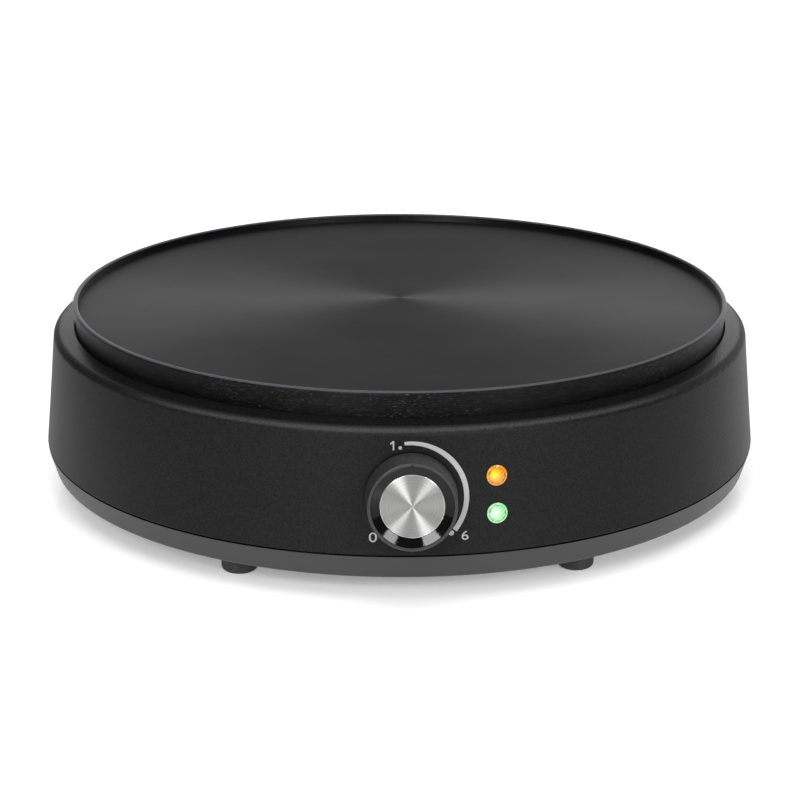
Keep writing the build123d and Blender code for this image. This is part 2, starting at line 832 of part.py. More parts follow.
with BuildPart() as terminal_block:
    with Locations((0, block_distance, block_z)):
        Box(block_width, block_length, block_height, align=BOTTOM)
    with BuildSketch(Plane(origin=(0, block_distance, pole_z), x_dir=(1, 0, 0), z_dir=(0, -1, 0))):
        with Locations(*[(x, 0) for x in pole_xs]):
            Circle(sleeve_diameter / 2 + thread_clearance)
    extrude(amount=block_length, both=True, mode=Mode.SUBTRACT)
    with Locations(*[(x, block_distance, pole_z) for x in pole_xs]):
        Cylinder(clamp_hole_diameter / 2, block_height, align=BOTTOM, mode=Mode.SUBTRACT)
    with Locations(*block_screw_spots):
        Cylinder(
            block_screw_diameter / 2 + screw_clearance,
            block_boss_height + block_height,
            align=BOTTOM,
            mode=Mode.SUBTRACT,
        )
save(terminal_block, "terminal_block")

with BuildPart() as terminal_sleeves:
    with BuildSketch(Plane(origin=(0, sleeve_start, pole_z), x_dir=(-1, 0, 0), z_dir=(0, 1, 0))):
        with Locations(*[(x, 0) for x in pole_xs]):
            Circle(sleeve_diameter / 2)
            Circle(wire_diameter / 2 + wire_clearance, mode=Mode.SUBTRACT)
    extrude(amount=block_length - 2 * sleeve_inset)
save(terminal_sleeves, "terminal_sleeves")

block_rise = block_boss_height + block_height
with BuildPart() as terminal_screws:
    with Locations(*[spot * Location((0, 0, block_rise)) for spot in block_screw_spots]):
        Cylinder(block_screw_head / 2, block_screw_head_height, align=BOTTOM)
        Cylinder(block_screw_diameter / 2, block_rise - block_screw_setback, align=TOP)
save(terminal_screws, "terminal_screws")

# ---------------------------------------------------------------- thermostat
with BuildPart() as thermostat_body:
    with BuildSketch(dial.offset(-thermostat_front)):
        RectangleRounded(thermostat_width, thermostat_height, thermostat_corner)
    extrude(amount=-thermostat_depth)
    with BuildSketch(dial.offset(-thermostat_front)):
        Circle(cam_diameter / 2 + cavity_clearance)
    extrude(amount=-cavity_depth, mode=Mode.SUBTRACT)
    with BuildSketch(dial.offset(-thermostat_front)):
        with GridLocations(thermostat_screw_pitch, 0, 2, 1):
            Circle(thermostat_screw_diameter / 2 + thread_clearance)
    extrude(amount=-thermostat_screw_bite - screw_hole_room, mode=Mode.SUBTRACT)
save(thermostat_body, "thermostat_body")

with BuildPart() as thermostat_plate:
    with BuildSketch(dial.offset(-thermostat_front)):
        RectangleRounded(
            thermostat_width + 2 * thermostat_plate_margin,
            thermostat_height + 2 * thermostat_plate_margin,
            thermostat_plate_corner,
        )
        Circle(bush_diameter / 2 + thread_clearance, mode=Mode.SUBTRACT)
        with GridLocations(thermostat_screw_pitch, 0, 2, 1):
            Circle(thermostat_screw_diameter / 2 + thread_clearance, mode=Mode.SUBTRACT)
    extrude(amount=thermostat_plate_thickness)
save(thermostat_plate, "thermostat_plate")

flange_back = thermostat_front + bush_flange_thickness
with BuildPart() as spindle_bush:
    with BuildSketch(dial.offset(-flange_back)):
        Circle(bush_flange_diameter / 2)
    extrude(amount=bush_flange_thickness)
    with BuildSketch(dial.offset(-flange_back)):
        Circle(bush_diameter / 2)
    extrude(amount=bush_flange_thickness + bush_length)
    with BuildSketch(dial.offset(-flange_back)):
        Circle(spindle_diameter / 2 + spindle_clearance)
    extrude(amount=bush_flange_thickness + bush_length, mode=Mode.SUBTRACT)
save(spindle_bush, "spindle_bush")

cam_front = flange_back + cam_gap
knob_front = knob_gap + knob_length
web_front = knob_front - knob_recess
web_back = web_front - knob_web
spindle_reach = web_back - spindle_setback
with BuildPart() as thermostat_spindle:
    with BuildSketch(dial.offset(-cam_front - cam_thickness)):
        Circle(cam_diameter / 2)
    extrude(amount=cam_thickness)
    with BuildSketch(dial.offset(-cam_front)):
        Circle(spindle_diameter / 2)
    extrude(amount=cam_front + spindle_reach)
    with BuildSketch(dial):
        with Locations((0, spindle_flat)):
            Rectangle(spindle_diameter, spindle_diameter, align=(Align.CENTER, Align.MIN))
    extrude(amount=spindle_reach, mode=Mode.SUBTRACT)
save(thermostat_spindle, "thermostat_spindle")

with BuildPart() as thermostat_tab_blades:
    for tab in thermostat_tabs:
        with BuildSketch(tab):
            Rectangle(tab_thickness, tab_width)
        extrude(amount=tab_length)
save(thermostat_tab_blades, "thermostat_tabs")

with BuildPart() as thermostat_screws:
    with BuildSketch(dial.offset(-thermostat_screw_recess)):
        with GridLocations(thermostat_screw_pitch, 0, 2, 1):
            Circle(thermostat_screw_head / 2)
    extrude(amount=thermostat_screw_head_height)
    with BuildSketch(dial.offset(-thermostat_screw_recess)):
        with GridLocations(thermostat_screw_pitch, 0, 2, 1):
            Circle(thermostat_screw_diameter / 2)
    extrude(amount=thermostat_screw_recess - thermostat_front - thermostat_screw_bite)
save(thermostat_screws, "thermostat_screws")

# ---------------------------------------------------------------- sensing bulb
bulb_way = around(1, bulb_angle).position
with BuildPart() as sensing_bulb:
    with BuildSketch(Plane(origin=bulb_way * bulb_start + Vector(0, 0, bulb_z), z_dir=bulb_way)):
        Circle(bulb_radius)
    extrude(amount=bulb_end - bulb_start)
    fillet(sensing_bulb.edges(), radius=bulb_round)
save(sensing_bulb, "sensing_bulb")

strap_frame = Plane(
    origin=bulb_way * (strap_middle - strap_width / 2) + Vector(0, 0, bulb_z),
    x_dir=Vector(0, 0, 1).cross(bulb_way),
    z_dir=bulb_way,
)
ear_level = underside_z - strap_pad_height - bulb_z
strap_bore = bulb_radius + strap_clearance
strap_span = strap_pitch + strap_screw_head + 2 * strap_end_margin
strap_ear_z = underside_z - strap_pad_height
with BuildPart() as bulb_strap:
    with BuildSketch(strap_frame):
        Circle(strap_bore + strap_thickness)
        with Locations((0, ear_level)):
            Rectangle(strap_span, strap_thickness, align=(Align.CENTER, Align.MAX))
        Circle(strap_bore, mode=Mode.SUBTRACT)
        with Locations((0, ear_level)):
            Rectangle(
                strap_span, 4 * bulb_diameter, align=(Align.CENTER, Align.MIN), mode=Mode.SUBTRACT
            )
    extrude(amount=strap_width)
    with Locations(*[spot * Location((0, 0, strap_ear_z)) for spot in strap_spots]):
        Cylinder(
            strap_screw_diameter / 2 + screw_clearance,
            2 * strap_thickness,
            mode=Mode.SUBTRACT,
        )
save(bulb_strap, "bulb_strap")

strap_seat_z = strap_ear_z - strap_thickness
with BuildPart() as strap_screws:
    with Locations(*[spot * Location((0, 0, strap_seat_z)) for spot in strap_spots]):
        Cylinder(strap_screw_head / 2, strap_screw_head_height, align=TOP)
        Cylinder(strap_screw_diameter / 2, strap_thickness + strap_screw_bite, align=BOTTOM)
save(strap_screws, "strap_screws")

# Capillary: up from the thermostat, under the housing's collar, over the shield's rim,
# under the element's ridge and up to the bulb
capillary_room = capillary_diameter / 2 + capillary_clearance
capillary_exit = dial.from_local_coords(
    (-thermostat_width / 4, thermostat_height / 2, -thermostat_front - capillary_exit_depth)
)
ridge_inner_r = element_circle - ridge_width / 2
ridge_bottom_z = element_z - ridge_lip
capillary_points = [
    capillary_exit,
    Vector(capillary_exit.X, capillary_exit.Y, collar_z - capillary_room),
    bulb_way * (shield_diameter / 2) + Vector(0, 0, shield_height + shield_rim + capillary_room),
    bulb_way * element_circle + Vector(0, 0, (shield_top_z + ridge_bottom_z) / 2),
    bulb_way * ((ridge_inner_r + bulb_end) / 2) + Vector(0, 0, bulb_z),
    bulb_way * bulb_end + Vector(0, 0, bulb_z),
]
save(cable(capillary_points, capillary_diameter), "capillary_tube")

# ---------------------------------------------------------------- thermal fuse
fuse_sleeve_r = fuse_diameter / 2 + thread_clearance + fuse_sleeve_wall
fuse_z = shield_height - fuse_sleeve_r
fuse_start = Vector(fuse_x, fuse_y - fuse_sleeve_length / 2, fuse_z)
fuse_end = fuse_start + Vector(0, fuse_sleeve_length, 0)
with BuildPart() as thermal_fuse:
    with BuildSketch(Plane(origin=fuse_start, z_dir=(0, 1, 0))):
        Circle(fuse_lead_diameter / 2)
    extrude(amount=fuse_sleeve_length)
    with BuildSketch(Plane(origin=(fuse_x, fuse_y - fuse_length / 2, fuse_z), z_dir=(0, 1, 0))):
        Circle(fuse_diameter / 2)
    extrude(amount=fuse_length)
save(thermal_fuse, "thermal_fuse")

with BuildPart() as fuse_sleeve:
    with BuildSketch(Plane(origin=fuse_start, z_dir=(0, 1, 0))):
        Circle(fuse_sleeve_r)
        Circle(fuse_sleeve_r - fuse_sleeve_wall, mode=Mode.SUBTRACT)
    extrude(amount=fuse_sleeve_length)
save(fuse_sleeve, "fuse_sleeve")

fuse_strap_r = fuse_sleeve_r + strap_clearance
fuse_strap_span = fuse_rivet_pitch + fuse_rivet_head + 2 * fuse_strap_margin
fuse_strap_plane = Plane(
    origin=(fuse_x, fuse_y + strap_width / 2, fuse_z), x_dir=(1, 0, 0), z_dir=(0, -1, 0)
)
with BuildPart() as fuse_strap:
    with BuildSketch(fuse_strap_plane):
        Circle(fuse_strap_r + strap_thickness)
        with Locations((0, fuse_sleeve_r)):
            Rectangle(fuse_strap_span, strap_thickness, align=(Align.CENTER, Align.MAX))
        Circle(fuse_strap_r, mode=Mode.SUBTRACT)
        with Locations((0, fuse_sleeve_r)):
            Rectangle(
                fuse_strap_span,
                4 * fuse_sleeve_r,
                align=(Align.CENTER, Align.MIN),
                mode=Mode.SUBTRACT,
            )
    extrude(amount=strap_width)
    with Locations(*fuse_rivet_spots):
        Cylinder(
            fuse_rivet_diameter / 2 + thread_clearance, 2 * strap_thickness, mode=Mode.SUBTRACT
        )
save(fuse_strap, "fuse_strap")

with BuildPart() as fuse_rivets:
    with Locations(*[spot * Location((0, 0, -strap_thickness)) for spot in fuse_rivet_spots]):
        Cylinder(fuse_rivet_head / 2, fuse_rivet_head_height, align=TOP)
        Cylinder(
            fuse_rivet_diameter / 2,
            strap_thickness + shield_thickness + fuse_rivet_head_height,
            align=BOTTOM,
        )
    with Locations(*[spot * Location((0, 0, shield_thickness)) for spot in fuse_rivet_spots]):
        Cylinder(fuse_rivet_head / 2, fuse_rivet_head_height, align=BOTTOM)
save(fuse_rivets, "fuse_rivets")

# ---------------------------------------------------------------- indicator lamps
lamp_spots = {"amber": lamp_pitch / 2, "green": -lamp_pitch / 2}
lamp_back = lamp_start + lamp_length
retainer_r = lens_body_r + retainer_width


def lamp_plane(offset):
    """Plane of one lamp on the wall, a distance up or down from the dial's height."""
    return Plane(
        origin=lamp_deck.from_local_coords((0, offset, 0)),
        x_dir=lamp_deck.x_dir,
        z_dir=lamp_deck.z_dir,
    )


def lamp_lens(plane):
    """Domed lens with a tube behind it that takes the lamp."""
    rim_r = lens_diameter / 2
    bore_r = lens_body_r - lens_wall
    bore_end = lamp_clearance - lamp_start
    with BuildPart() as lens:
        with BuildSketch(section_plane(plane)):
            with BuildLine():
                Line((0, bore_end), (0, lens_dome))
                TangentArc((0, lens_dome), (rim_r, lens_rim), tangent=(1, 0))
                Polyline(
                    (rim_r, lens_rim),
                    (rim_r, 0),
                    (lens_body_r, 0),
                    (lens_body_r, -lens_length),
                    (bore_r, -lens_length),
                    (bore_r, bore_end),
                    (0, bore_end),
                )
            make_face()
        revolve(axis=normal_axis(plane))
    return lens


def neon_lamp(plane):
    """Small lamp capsule with a rounded tip."""
    with BuildPart() as lamp:
        with BuildSketch(plane.offset(-lamp_start)):
            Circle(lamp_r)
        extrude(amount=-lamp_length)
        fillet(lamp.edges().sort_by(normal_axis(plane))[-1], radius=lamp_tip_round)
    return lamp


for colour, offset in lamp_spots.items():
    save(lamp_lens(lamp_plane(offset)), f"{colour}_lens")
    save(neon_lamp(lamp_plane(offset)), f"{colour}_lamp")

with BuildPart() as lens_retainers:
    retainer_sag = retainer_r**2 / (2 * dial_r)
    with BuildSketch(lamp_deck.offset(-wall - retainer_sag)):
        with GridLocations(0, lamp_pitch, 1, 2):
            Circle(retainer_r)
            Circle(lens_body_r + thread_clearance, mode=Mode.SUBTRACT)
    extrude(amount=-retainer_thickness)
save(lens_retainers, "lens_retainers")

with BuildPart() as lamp_holder:
    with BuildSketch(lamp_deck.offset(-holder_depth)):
        with Locations((holder_boss_offset / 2, 0)):
            RectangleRounded(
                holder_boss_offset + 2 * holder_margin,
                lamp_pitch + 2 * holder_end_margin,
                holder_corner,
            )
        with GridLocations(0, lamp_pitch, 1, 2):
            Circle(lamp_r + thread_clearance, mode=Mode.SUBTRACT)
        with Locations((holder_boss_offset, 0)):
            Circle(holder_screw_diameter / 2 + screw_clearance, mode=Mode.SUBTRACT)
    extrude(amount=-holder_thickness)
save(lamp_holder, "lamp_holder")

holder_back = holder_depth + holder_thickness
with BuildPart() as holder_screw:
    with BuildSketch(lamp_deck.offset(-holder_back)):
        with Locations((holder_boss_offset, 0)):
            Circle(holder_screw_head / 2)
    extrude(amount=-holder_screw_head_height)
    with BuildSketch(lamp_deck.offset(-holder_back)):
        with Locations((holder_boss_offset, 0)):
            Circle(holder_screw_diameter / 2)
    extrude(amount=holder_screw_length)
save(holder_screw, "holder_screw")

# ---------------------------------------------------------------- knob
knob_front_r = knob_diameter / 2 - knob_draft
knob_bore_r = knob_diameter / 2 - knob_skirt
hub_start = knob_gap + knob_hub_setback
recess_r = knob_front_r - knob_lip
ring_r = recess_r - trim_clearance
ring_inner_r = ring_r - ring_width
cap_r = ring_inner_r - trim_clearance
with BuildPart() as knob_body:
    with BuildSketch(dial_section) as knob_section:
        with BuildLine():
            Polyline(
                (0, web_front),
                (recess_r, web_front),
                (recess_r, knob_front),
                (knob_front_r, knob_front),
                (knob_diameter / 2, knob_gap),
                (knob_bore_r, knob_gap),
                (knob_bore_r - knob_bore_draft, web_back),
                (knob_hub_diameter / 2, web_back),
                (knob_hub_diameter / 2, hub_start),
                (0, hub_start),
                close=True,
            )
        make_face()
        edge = knob_section.vertices().sort_by_distance((knob_front_r, knob_front, 0))[0]
        fillet(edge, radius=knob_edge_round)
    revolve(axis=dial_axis)
    with BuildSketch(dial):
        Circle(spindle_diameter / 2 + spindle_clearance)
        with Locations((0, spindle_flat + spindle_clearance)):
            Rectangle(
                2 * spindle_diameter,
                spindle_diameter,
                align=(Align.CENTER, Align.MIN),
                mode=Mode.SUBTRACT,
            )
    extrude(amount=spindle_reach + screw_hole_room, mode=Mode.SUBTRACT)
    with BuildSketch(dial.offset(knob_front - 2 * pointer_depth)):
        with Locations((0, recess_r - pointer_overrun)):
            Rectangle(
                pointer_width, knob_lip + 2 * pointer_overrun, align=(Align.CENTER, Align.MIN)
            )
    extrude(amount=2 * pointer_depth, mode=Mode.SUBTRACT)
save(knob_body, "knob_body")

ring_front = web_front + ring_height
with BuildPart() as knob_ring:
    with BuildSketch(dial_section):
        with BuildLine():
            Polyline(
                (ring_inner_r, web_front),
                (ring_r, web_front),
                (ring_r, ring_front),
                (ring_inner_r, ring_front - ring_dish),
                close=True,
            )
        make_face()
    revolve(axis=dial_axis)
save(knob_ring, "knob_ring")

with BuildPart() as knob_cap:
    with BuildSketch(dial.offset(web_front)):
        Circle(cap_r)
    extrude(amount=cap_height)
    chamfer(knob_cap.edges().sort_by(dial_axis)[-1], length=cap_bevel)
save(knob_cap, "knob_cap")

with BuildPart() as knob_clip:
    with BuildSketch(dial.offset(web_back - clip_height - clip_setback)):
        Circle(knob_hub_diameter / 2 + clip_thickness)
        Circle(knob_hub_diameter / 2, mode=Mode.SUBTRACT)
    extrude(amount=clip_height)
save(knob_clip, "knob_clip")

# ---------------------------------------------------------------- connectors and wires
all_tabs = thermostat_tabs + element_tabs
wire_hole_r = wire_diameter / 2 + wire_clearance
tab_hole = (tab_thickness + 2 * wire_clearance, tab_width + 2 * wire_clearance)
connector_thickness = 2 * (wire_hole_r + connector_shell)
connector_width = tab_hole[1] + 2 * connector_edge
connector_end = connector_start + connector_length
with BuildPart() as tab_connectors:
    for tab in all_tabs:
        with BuildSketch(tab.offset(connector_start)):
            Rectangle(connector_thickness, connector_width)
        extrude(amount=connector_length)
    for tab in all_tabs:
        with BuildSketch(tab):
            Rectangle(*tab_hole)
        extrude(amount=tab_length + wire_clearance, mode=Mode.SUBTRACT)
    for tab in all_tabs:
        with BuildSketch(tab.offset(connector_end)):
            Circle(wire_hole_r)
        extrude(amount=-connector_bore_depth, mode=Mode.SUBTRACT)
save(tab_connectors, "tab_connectors")

wire_seat = connector_end - connector_bore_depth
floor_way = floor_z + wire_rise


def tab_run(tab, length):
    """First two points of a wire that leaves a push-on connector."""
    start = tab.from_local_coords((0, 0, wire_seat))
    return [start, start + tab.z_dir * (length + connector_bore_depth)]


def pole_run(pole, length):
    """First two points of a wire that leaves the terminal block forwards."""
    start = Vector(pole_xs[pole], sleeve_start + sleeve_grip, pole_z)
    return [start, start - Vector(0, sleeve_grip + sleeve_inset + length, 0)]


def dial_point(x, rise, depth):
    """Point behind the dial, by its rise over the knob's axis and its depth from the wall."""
    return dial.from_local_coords((x, rise, -depth))


def deck_point(x, rise, depth):
    """Point behind the lamps, by its rise over their middle and its depth from the wall."""
    return lamp_deck.from_local_coords((x, rise, -depth))


live_tab, switched_tab = thermostat_tabs
neutral_tab, fused_tab = sorted(element_tabs, key=lambda tab: tab.origin.X)

# Points of a route along the floor are chosen by hand, the others stand off what they join
wire_live_points = [
    *pole_run(0, 14),
    (-30, 84, floor_way + 3),
    (-42, 56, floor_way),
    (-44, 12, floor_way),
    (-40, -30, floor_way),
    (-30, -66, floor_way + 4),
    dial_point(-14, -5.5, 80),
    *reversed(tab_run(live_tab, 12)),
]
save(cable(wire_live_points, wire_diameter), "wire_live")

wire_switched_points = [
    *tab_run(switched_tab, 12),
    dial_point(24, -2, 80),
    dial_point(50, 3, 97),
    dial_point(76, 11.5, 127),
    fuse_start + Vector(1, -36, -2),
    fuse_start + Vector(0, -16, 0),
    fuse_start,
]
save(cable(wire_switched_points, wire_diameter), "wire_switched")

wire_fused_points = [
    fuse_end,
    fuse_end + Vector(0, 18, 0),
    fused_tab.origin + Vector(50, -25, -3),
    fused_tab.origin + Vector(30, -11, -17),
    fused_tab.origin + Vector(10, -4, -26),
    *reversed(tab_run(fused_tab, 8)),
]
save(cable(wire_fused_points, wire_diameter), "wire_fused")

wire_neutral_points = [*pole_run(1, 6), *reversed(tab_run(neutral_tab, 8))]
save(cable(wire_neutral_points, wire_diameter), "wire_neutral")

tag_mouth = Vector(0, tag_start + tag_barrel_length, tag_z)
wire_earth_points = [
    *pole_run(3, 5),
    tag_mouth + Vector(6, 13, -17),
    tag_mouth + Vector(0, 16, 0),
    tag_mouth - Vector(0, tag_grip, 0),
]
save(cable(wire_earth_points, wire_diameter), "wire_earth")

splice_end = splice_start + splice_length
with BuildPart() as lamp_splice:
    with BuildSketch(lamp_deck.offset(-splice_start)):
        with Locations((splice_offset, 0)):
            Circle(splice_diameter / 2)
            Circle(wire_hole_r, mode=Mode.SUBTRACT)
    extrude(amount=-splice_length)
save(lamp_splice, "lamp_splice")

wire_lamp_points = [
    *pole_run(2, 14),
    (22, 84, floor_way + 2),
    (40, 52, floor_way),
    (46, 10, floor_way),
    (42, -32, floor_way),
    (44, -70, floor_way + 6),
    deck_point(splice_offset, 0, splice_end + 16),
    deck_point(splice_offset, 0, splice_end - splice_grip),
]
save(cable(wire_lamp_points, wire_diameter), "wire_lamps")

lead_nest = (lead_diameter + lead_gap) / 2
connector_depth = thermostat_back + connector_start + connector_length / 2
connector_top = connector_width / 2
lead_room = shield_height - dial_point(0, connector_top, connector_depth).Z


def neutral_lead(side):
    """Lead from a lamp's right-hand pin into the splice."""
    return [
        deck_point(lead_pin_offset, side * lamp_pitch / 2, lamp_back),
        deck_point(lead_pin_offset, side * lamp_pitch / 2, (3 * lamp_back + splice_start) / 4),
        deck_point(splice_offset, side * lead_nest, splice_start - lead_diameter),
        deck_point(splice_offset, side * lead_nest, splice_start + splice_grip),
    ]


def live_lead(side, tab_side, rise):
    """Lead from a lamp's left-hand pin over to the top of a thermostat connector."""
    tab_x = tab_side * tab_pitch / 2
    level = connector_top + rise
    return [
        deck_point(-lead_pin_offset, side * lamp_pitch / 2, lamp_back),
        deck_point(-lead_pin_offset, side * lamp_pitch / 2, (lamp_back + connector_depth) / 2),
        dial_point(tab_x + tab_pitch / 2, level - 2 * lead_diameter, connector_depth + lead_diameter),
        dial_point(tab_x, level, connector_depth),
        dial_point(tab_x, connector_top, connector_depth),
    ]


lead_routes = (
    neutral_lead(1),
    neutral_lead(-1),
    live_lead(1, -1, 2 * lead_room / 3),
    live_lead(-1, 1, lead_room / 3),
)
with BuildPart() as lamp_leads:
    for lead_route in lead_routes:
        add(cable(lead_route, lead_diameter).part)
save(lamp_leads, "lamp_leads")
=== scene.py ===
import json
import math
import bpy
from mathutils import Matrix, Vector


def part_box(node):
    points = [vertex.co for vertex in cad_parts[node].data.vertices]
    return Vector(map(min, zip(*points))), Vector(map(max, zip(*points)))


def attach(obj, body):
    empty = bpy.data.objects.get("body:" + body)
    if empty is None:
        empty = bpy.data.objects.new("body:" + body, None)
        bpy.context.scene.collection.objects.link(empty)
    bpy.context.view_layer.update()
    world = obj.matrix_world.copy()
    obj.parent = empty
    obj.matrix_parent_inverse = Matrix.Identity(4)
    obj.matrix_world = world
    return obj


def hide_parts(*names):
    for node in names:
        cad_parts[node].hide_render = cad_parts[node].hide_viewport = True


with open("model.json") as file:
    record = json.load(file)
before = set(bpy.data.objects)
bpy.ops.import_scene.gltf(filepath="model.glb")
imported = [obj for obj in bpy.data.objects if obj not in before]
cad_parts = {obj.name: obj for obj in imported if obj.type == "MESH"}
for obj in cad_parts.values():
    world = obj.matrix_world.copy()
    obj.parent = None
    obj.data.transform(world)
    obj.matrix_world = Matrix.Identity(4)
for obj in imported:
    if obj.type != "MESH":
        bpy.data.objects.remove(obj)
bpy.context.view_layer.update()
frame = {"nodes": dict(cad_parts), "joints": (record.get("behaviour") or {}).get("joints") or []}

# ---------------------------------------------------------------- worktop and studio
# White laminate worktop with a soft shine, two softboxes in front, one overhead, a white
# backdrop and a grey card. None of it belongs to the crepe maker.
def linear(code):
    """Linear colour of an sRGB hex code."""
    channels = [int(code[i:i + 2], 16) / 255 for i in (0, 2, 4)]
    curve = [c / 12.92 if c <= 0.04045 else ((c + 0.055) / 1.055) ** 2.4 for c in channels]
    return (*curve, 1.0)


def add(tree, kind, inputs=None, **settings):
    """Add a node with its settings, socket values and links."""
    made = tree.nodes.new(kind)
    for setting, value in settings.items():
        setattr(made, setting, value)
    for socket, value in (inputs or {}).items():
        if isinstance(value, bpy.types.NodeSocket):
            tree.links.new(value, made.inputs[socket])
        else:
            made.inputs[socket].default_value = value
    return made


def new_finish(name, colour, roughness, constants=None):
    """Start a material, with its tree, its one shader and the place on the piece in metres."""
    material = bpy.data.materials.new(name)
    material.use_nodes = True
    tree = material.node_tree
    tree.nodes.clear()
    values = {"Base Color": linear(colour), "Roughness": roughness, **(constants or {})}
    shader = add(tree, "ShaderNodeBsdfPrincipled", values)
    add(tree, "ShaderNodeOutputMaterial", {"Surface": shader.outputs[0]})
    place = add(tree, "ShaderNodeTexCoord").outputs["Object"]
    return material, tree, shader, place


def towards_angles(azimuth, elevation):
    """Unit vector with this azimuth, from 0 in front round to the right, and elevation."""
    turn, tilt = math.radians(azimuth), math.radians(elevation)
    return Vector((
        math.sin(turn) * math.cos(tilt), -math.cos(turn) * math.cos(tilt), math.sin(tilt)
    ))


studio = bpy.context.scene
studio.view_settings.view_transform = "Standard"

worktop_half = 9.0
worktop_mesh = bpy.data.meshes.new("worktop")
worktop_mesh.from_pydata(
    [(x * worktop_half, y * worktop_half, 0) for x, y in ((-1, -1), (1, -1), (1, 1), (-1, 1))],
    [], [(0, 1, 2, 3)],
)
worktop = bpy.data.objects.new("worktop", worktop_mesh)
studio.collection.objects.link(worktop)
# White laminate: an even white whose soft shine mirrors the body faintly, with a ripple of
# about 17 mm from pressing
laminate, tree, shader, place = new_finish(
    "white_laminate", "f6f6f6", 0.2,
    {"Specular IOR Level": 0.45, "Emission Color": linear("ffffff"), "Emission Strength": 0.25},
)
ripple = add(tree, "ShaderNodeTexNoise", {"Vector": place, "Scale": 60.0, "Detail": 2.0})
even = add(tree, "ShaderNodeMapRange", {0: ripple.outputs[0], 3: 0.18, 4: 0.23})
tree.links.new(even.outputs[0], shader.inputs["Roughness"])
worktop_mesh.materials.append(laminate)

room = bpy.data.worlds.new("room")
room.use_nodes = True
tree = room.node_tree
tree.nodes.clear()
# A white backdrop stands behind, up to some 35 degrees; the rest of the room is dim
direction = add(tree, "ShaderNodeTexCoord").outputs["Generated"]
towards = add(tree, "ShaderNodeSeparateXYZ", {0: direction})
behind = add(tree, "ShaderNodeMapRange", {0: towards.outputs["Y"], 1: 0.25, 2: 0.7},
             interpolation_type="SMOOTHSTEP")
low = add(tree, "ShaderNodeMapRange", {0: towards.outputs["Z"], 1: 0.45, 2: 0.65, 3: 1.0, 4: 0.0},
          interpolation_type="SMOOTHSTEP")
# The backdrop loses light towards the left
side = add(tree, "ShaderNodeMapRange", {0: towards.outputs["X"], 1: -0.85, 2: 0.1, 3: 0.25, 4: 1.0},
           interpolation_type="SMOOTHSTEP")
band = add(tree, "ShaderNodeMath", {0: behind.outputs[0], 1: low.outputs[0]}, operation="MULTIPLY")
backdrop = add(tree, "ShaderNodeMath", {0: band.outputs[0], 1: side.outputs[0]},
               operation="MULTIPLY")
glow = add(tree, "ShaderNodeMix",
           {0: backdrop.outputs[0], 6: linear("5a5a5a"), 7: linear("ffffff")}, data_type="RGBA")
# Seen straight on, the room is white all round
seen = add(tree, "ShaderNodeLightPath").outputs["Is Camera Ray"]
walls = add(tree, "ShaderNodeMix",
            {0: seen, 6: glow.outputs[2], 7: linear("ffffff")}, data_type="RGBA")
sky = add(tree, "ShaderNodeBackground", {"Color": walls.outputs[2]})
add(tree, "ShaderNodeOutputWorld", {"Surface": sky.outputs[0]})
studio.world = room

# Softboxes aimed at the knob's dial: azimuth, elevation, distance, width, height and watts
dial = frame["joints"][0]
dial_centre = Vector(dial["pos_m"])
for name, azimuth, elevation, distance, width, height, power in (
    ("softbox_left", -22.0, 28.0, 1.7, 0.46, 0.62, 18.5),
    ("softbox_right", 33.0, 24.0, 1.7, 0.70, 0.32, 13.0),
    ("softbox_overhead", 0.0, 80.0, 3.2, 4.0, 4.0, 120.0),
):
    lamp = bpy.data.lights.new(name, "AREA")
    lamp.shape = "RECTANGLE"
    lamp.size, lamp.size_y, lamp.energy = width, height, power
    away = towards_angles(azimuth, elevation)
    softbox = bpy.data.objects.new(name, lamp)
    softbox.location = dial_centre + away * distance
    softbox.rotation_euler = away.to_track_quat("Z", "Y").to_euler()
    studio.collection.objects.link(softbox)

# Grey card at the left, which only reflections show: it keeps that side of the body dark
card_side, card_near, card_far, card_foot, card_top = -0.5, -0.7, 0.5, 0.001, 0.45
card_mesh = bpy.data.meshes.new("grey_card")
card_mesh.from_pydata(
    [(card_side, card_near, card_foot), (card_side, card_far, card_foot),
     (card_side, card_far, card_top), (card_side, card_near, card_top)],
    [], [(0, 1, 2, 3)],
)
card = bpy.data.objects.new("grey_card", card_mesh)
studio.collection.objects.link(card)
card_paper, tree, shader, place = new_finish("matt_card_grey", "484848", 0.9)
paper = add(tree, "ShaderNodeTexNoise", {"Vector": place, "Scale": 90.0, "Detail": 2.0})
paper_shade = add(tree, "ShaderNodeMapRange", {0: paper.outputs[0], 3: 0.85, 4: 0.95})
tree.links.new(paper_shade.outputs[0], shader.inputs["Roughness"])
card_mesh.materials.append(card_paper)
card.visible_camera = card.visible_diffuse = card.visible_shadow = False

# ---------------------------------------------------------------- base cover
# Dark grey polypropylene tray moulded in one shot, which closes the housing from below and
# carries the feet. Its band shows under the housing's lower edge. Held by four screws.
base_polypropylene, tree, shader, place = new_finish(
    "moulded_polypropylene_dark_grey", "393939", 0.42, {"IOR": 1.3}
)
# Polished steel mould: nearly smooth, so a soft sheen, clouded by the flow over some 20 mm
flow = add(tree, "ShaderNodeTexNoise", {"Vector": place, "Scale": 45.0, "Detail": 3.0})
flow_shade = add(tree, "ShaderNodeMapRange", {0: flow.outputs[0], 3: 0.37, 4: 0.48})
tree.links.new(flow_shade.outputs[0], shader.inputs["Roughness"])
# Grain of the mould's skin: 0.6 mm, drawn coarser than the real 0.1 mm so that it shows
skin = add(tree, "ShaderNodeTexNoise", {"Vector": place, "Scale": 1 / 0.0006, "Detail": 1.0})
skin_bump = add(
    tree, "ShaderNodeBump", {"Height": skin.outputs[0], "Strength": 0.25, "Distance": 0.00005}
)
tree.links.new(skin_bump.outputs[0], shader.inputs["Normal"])
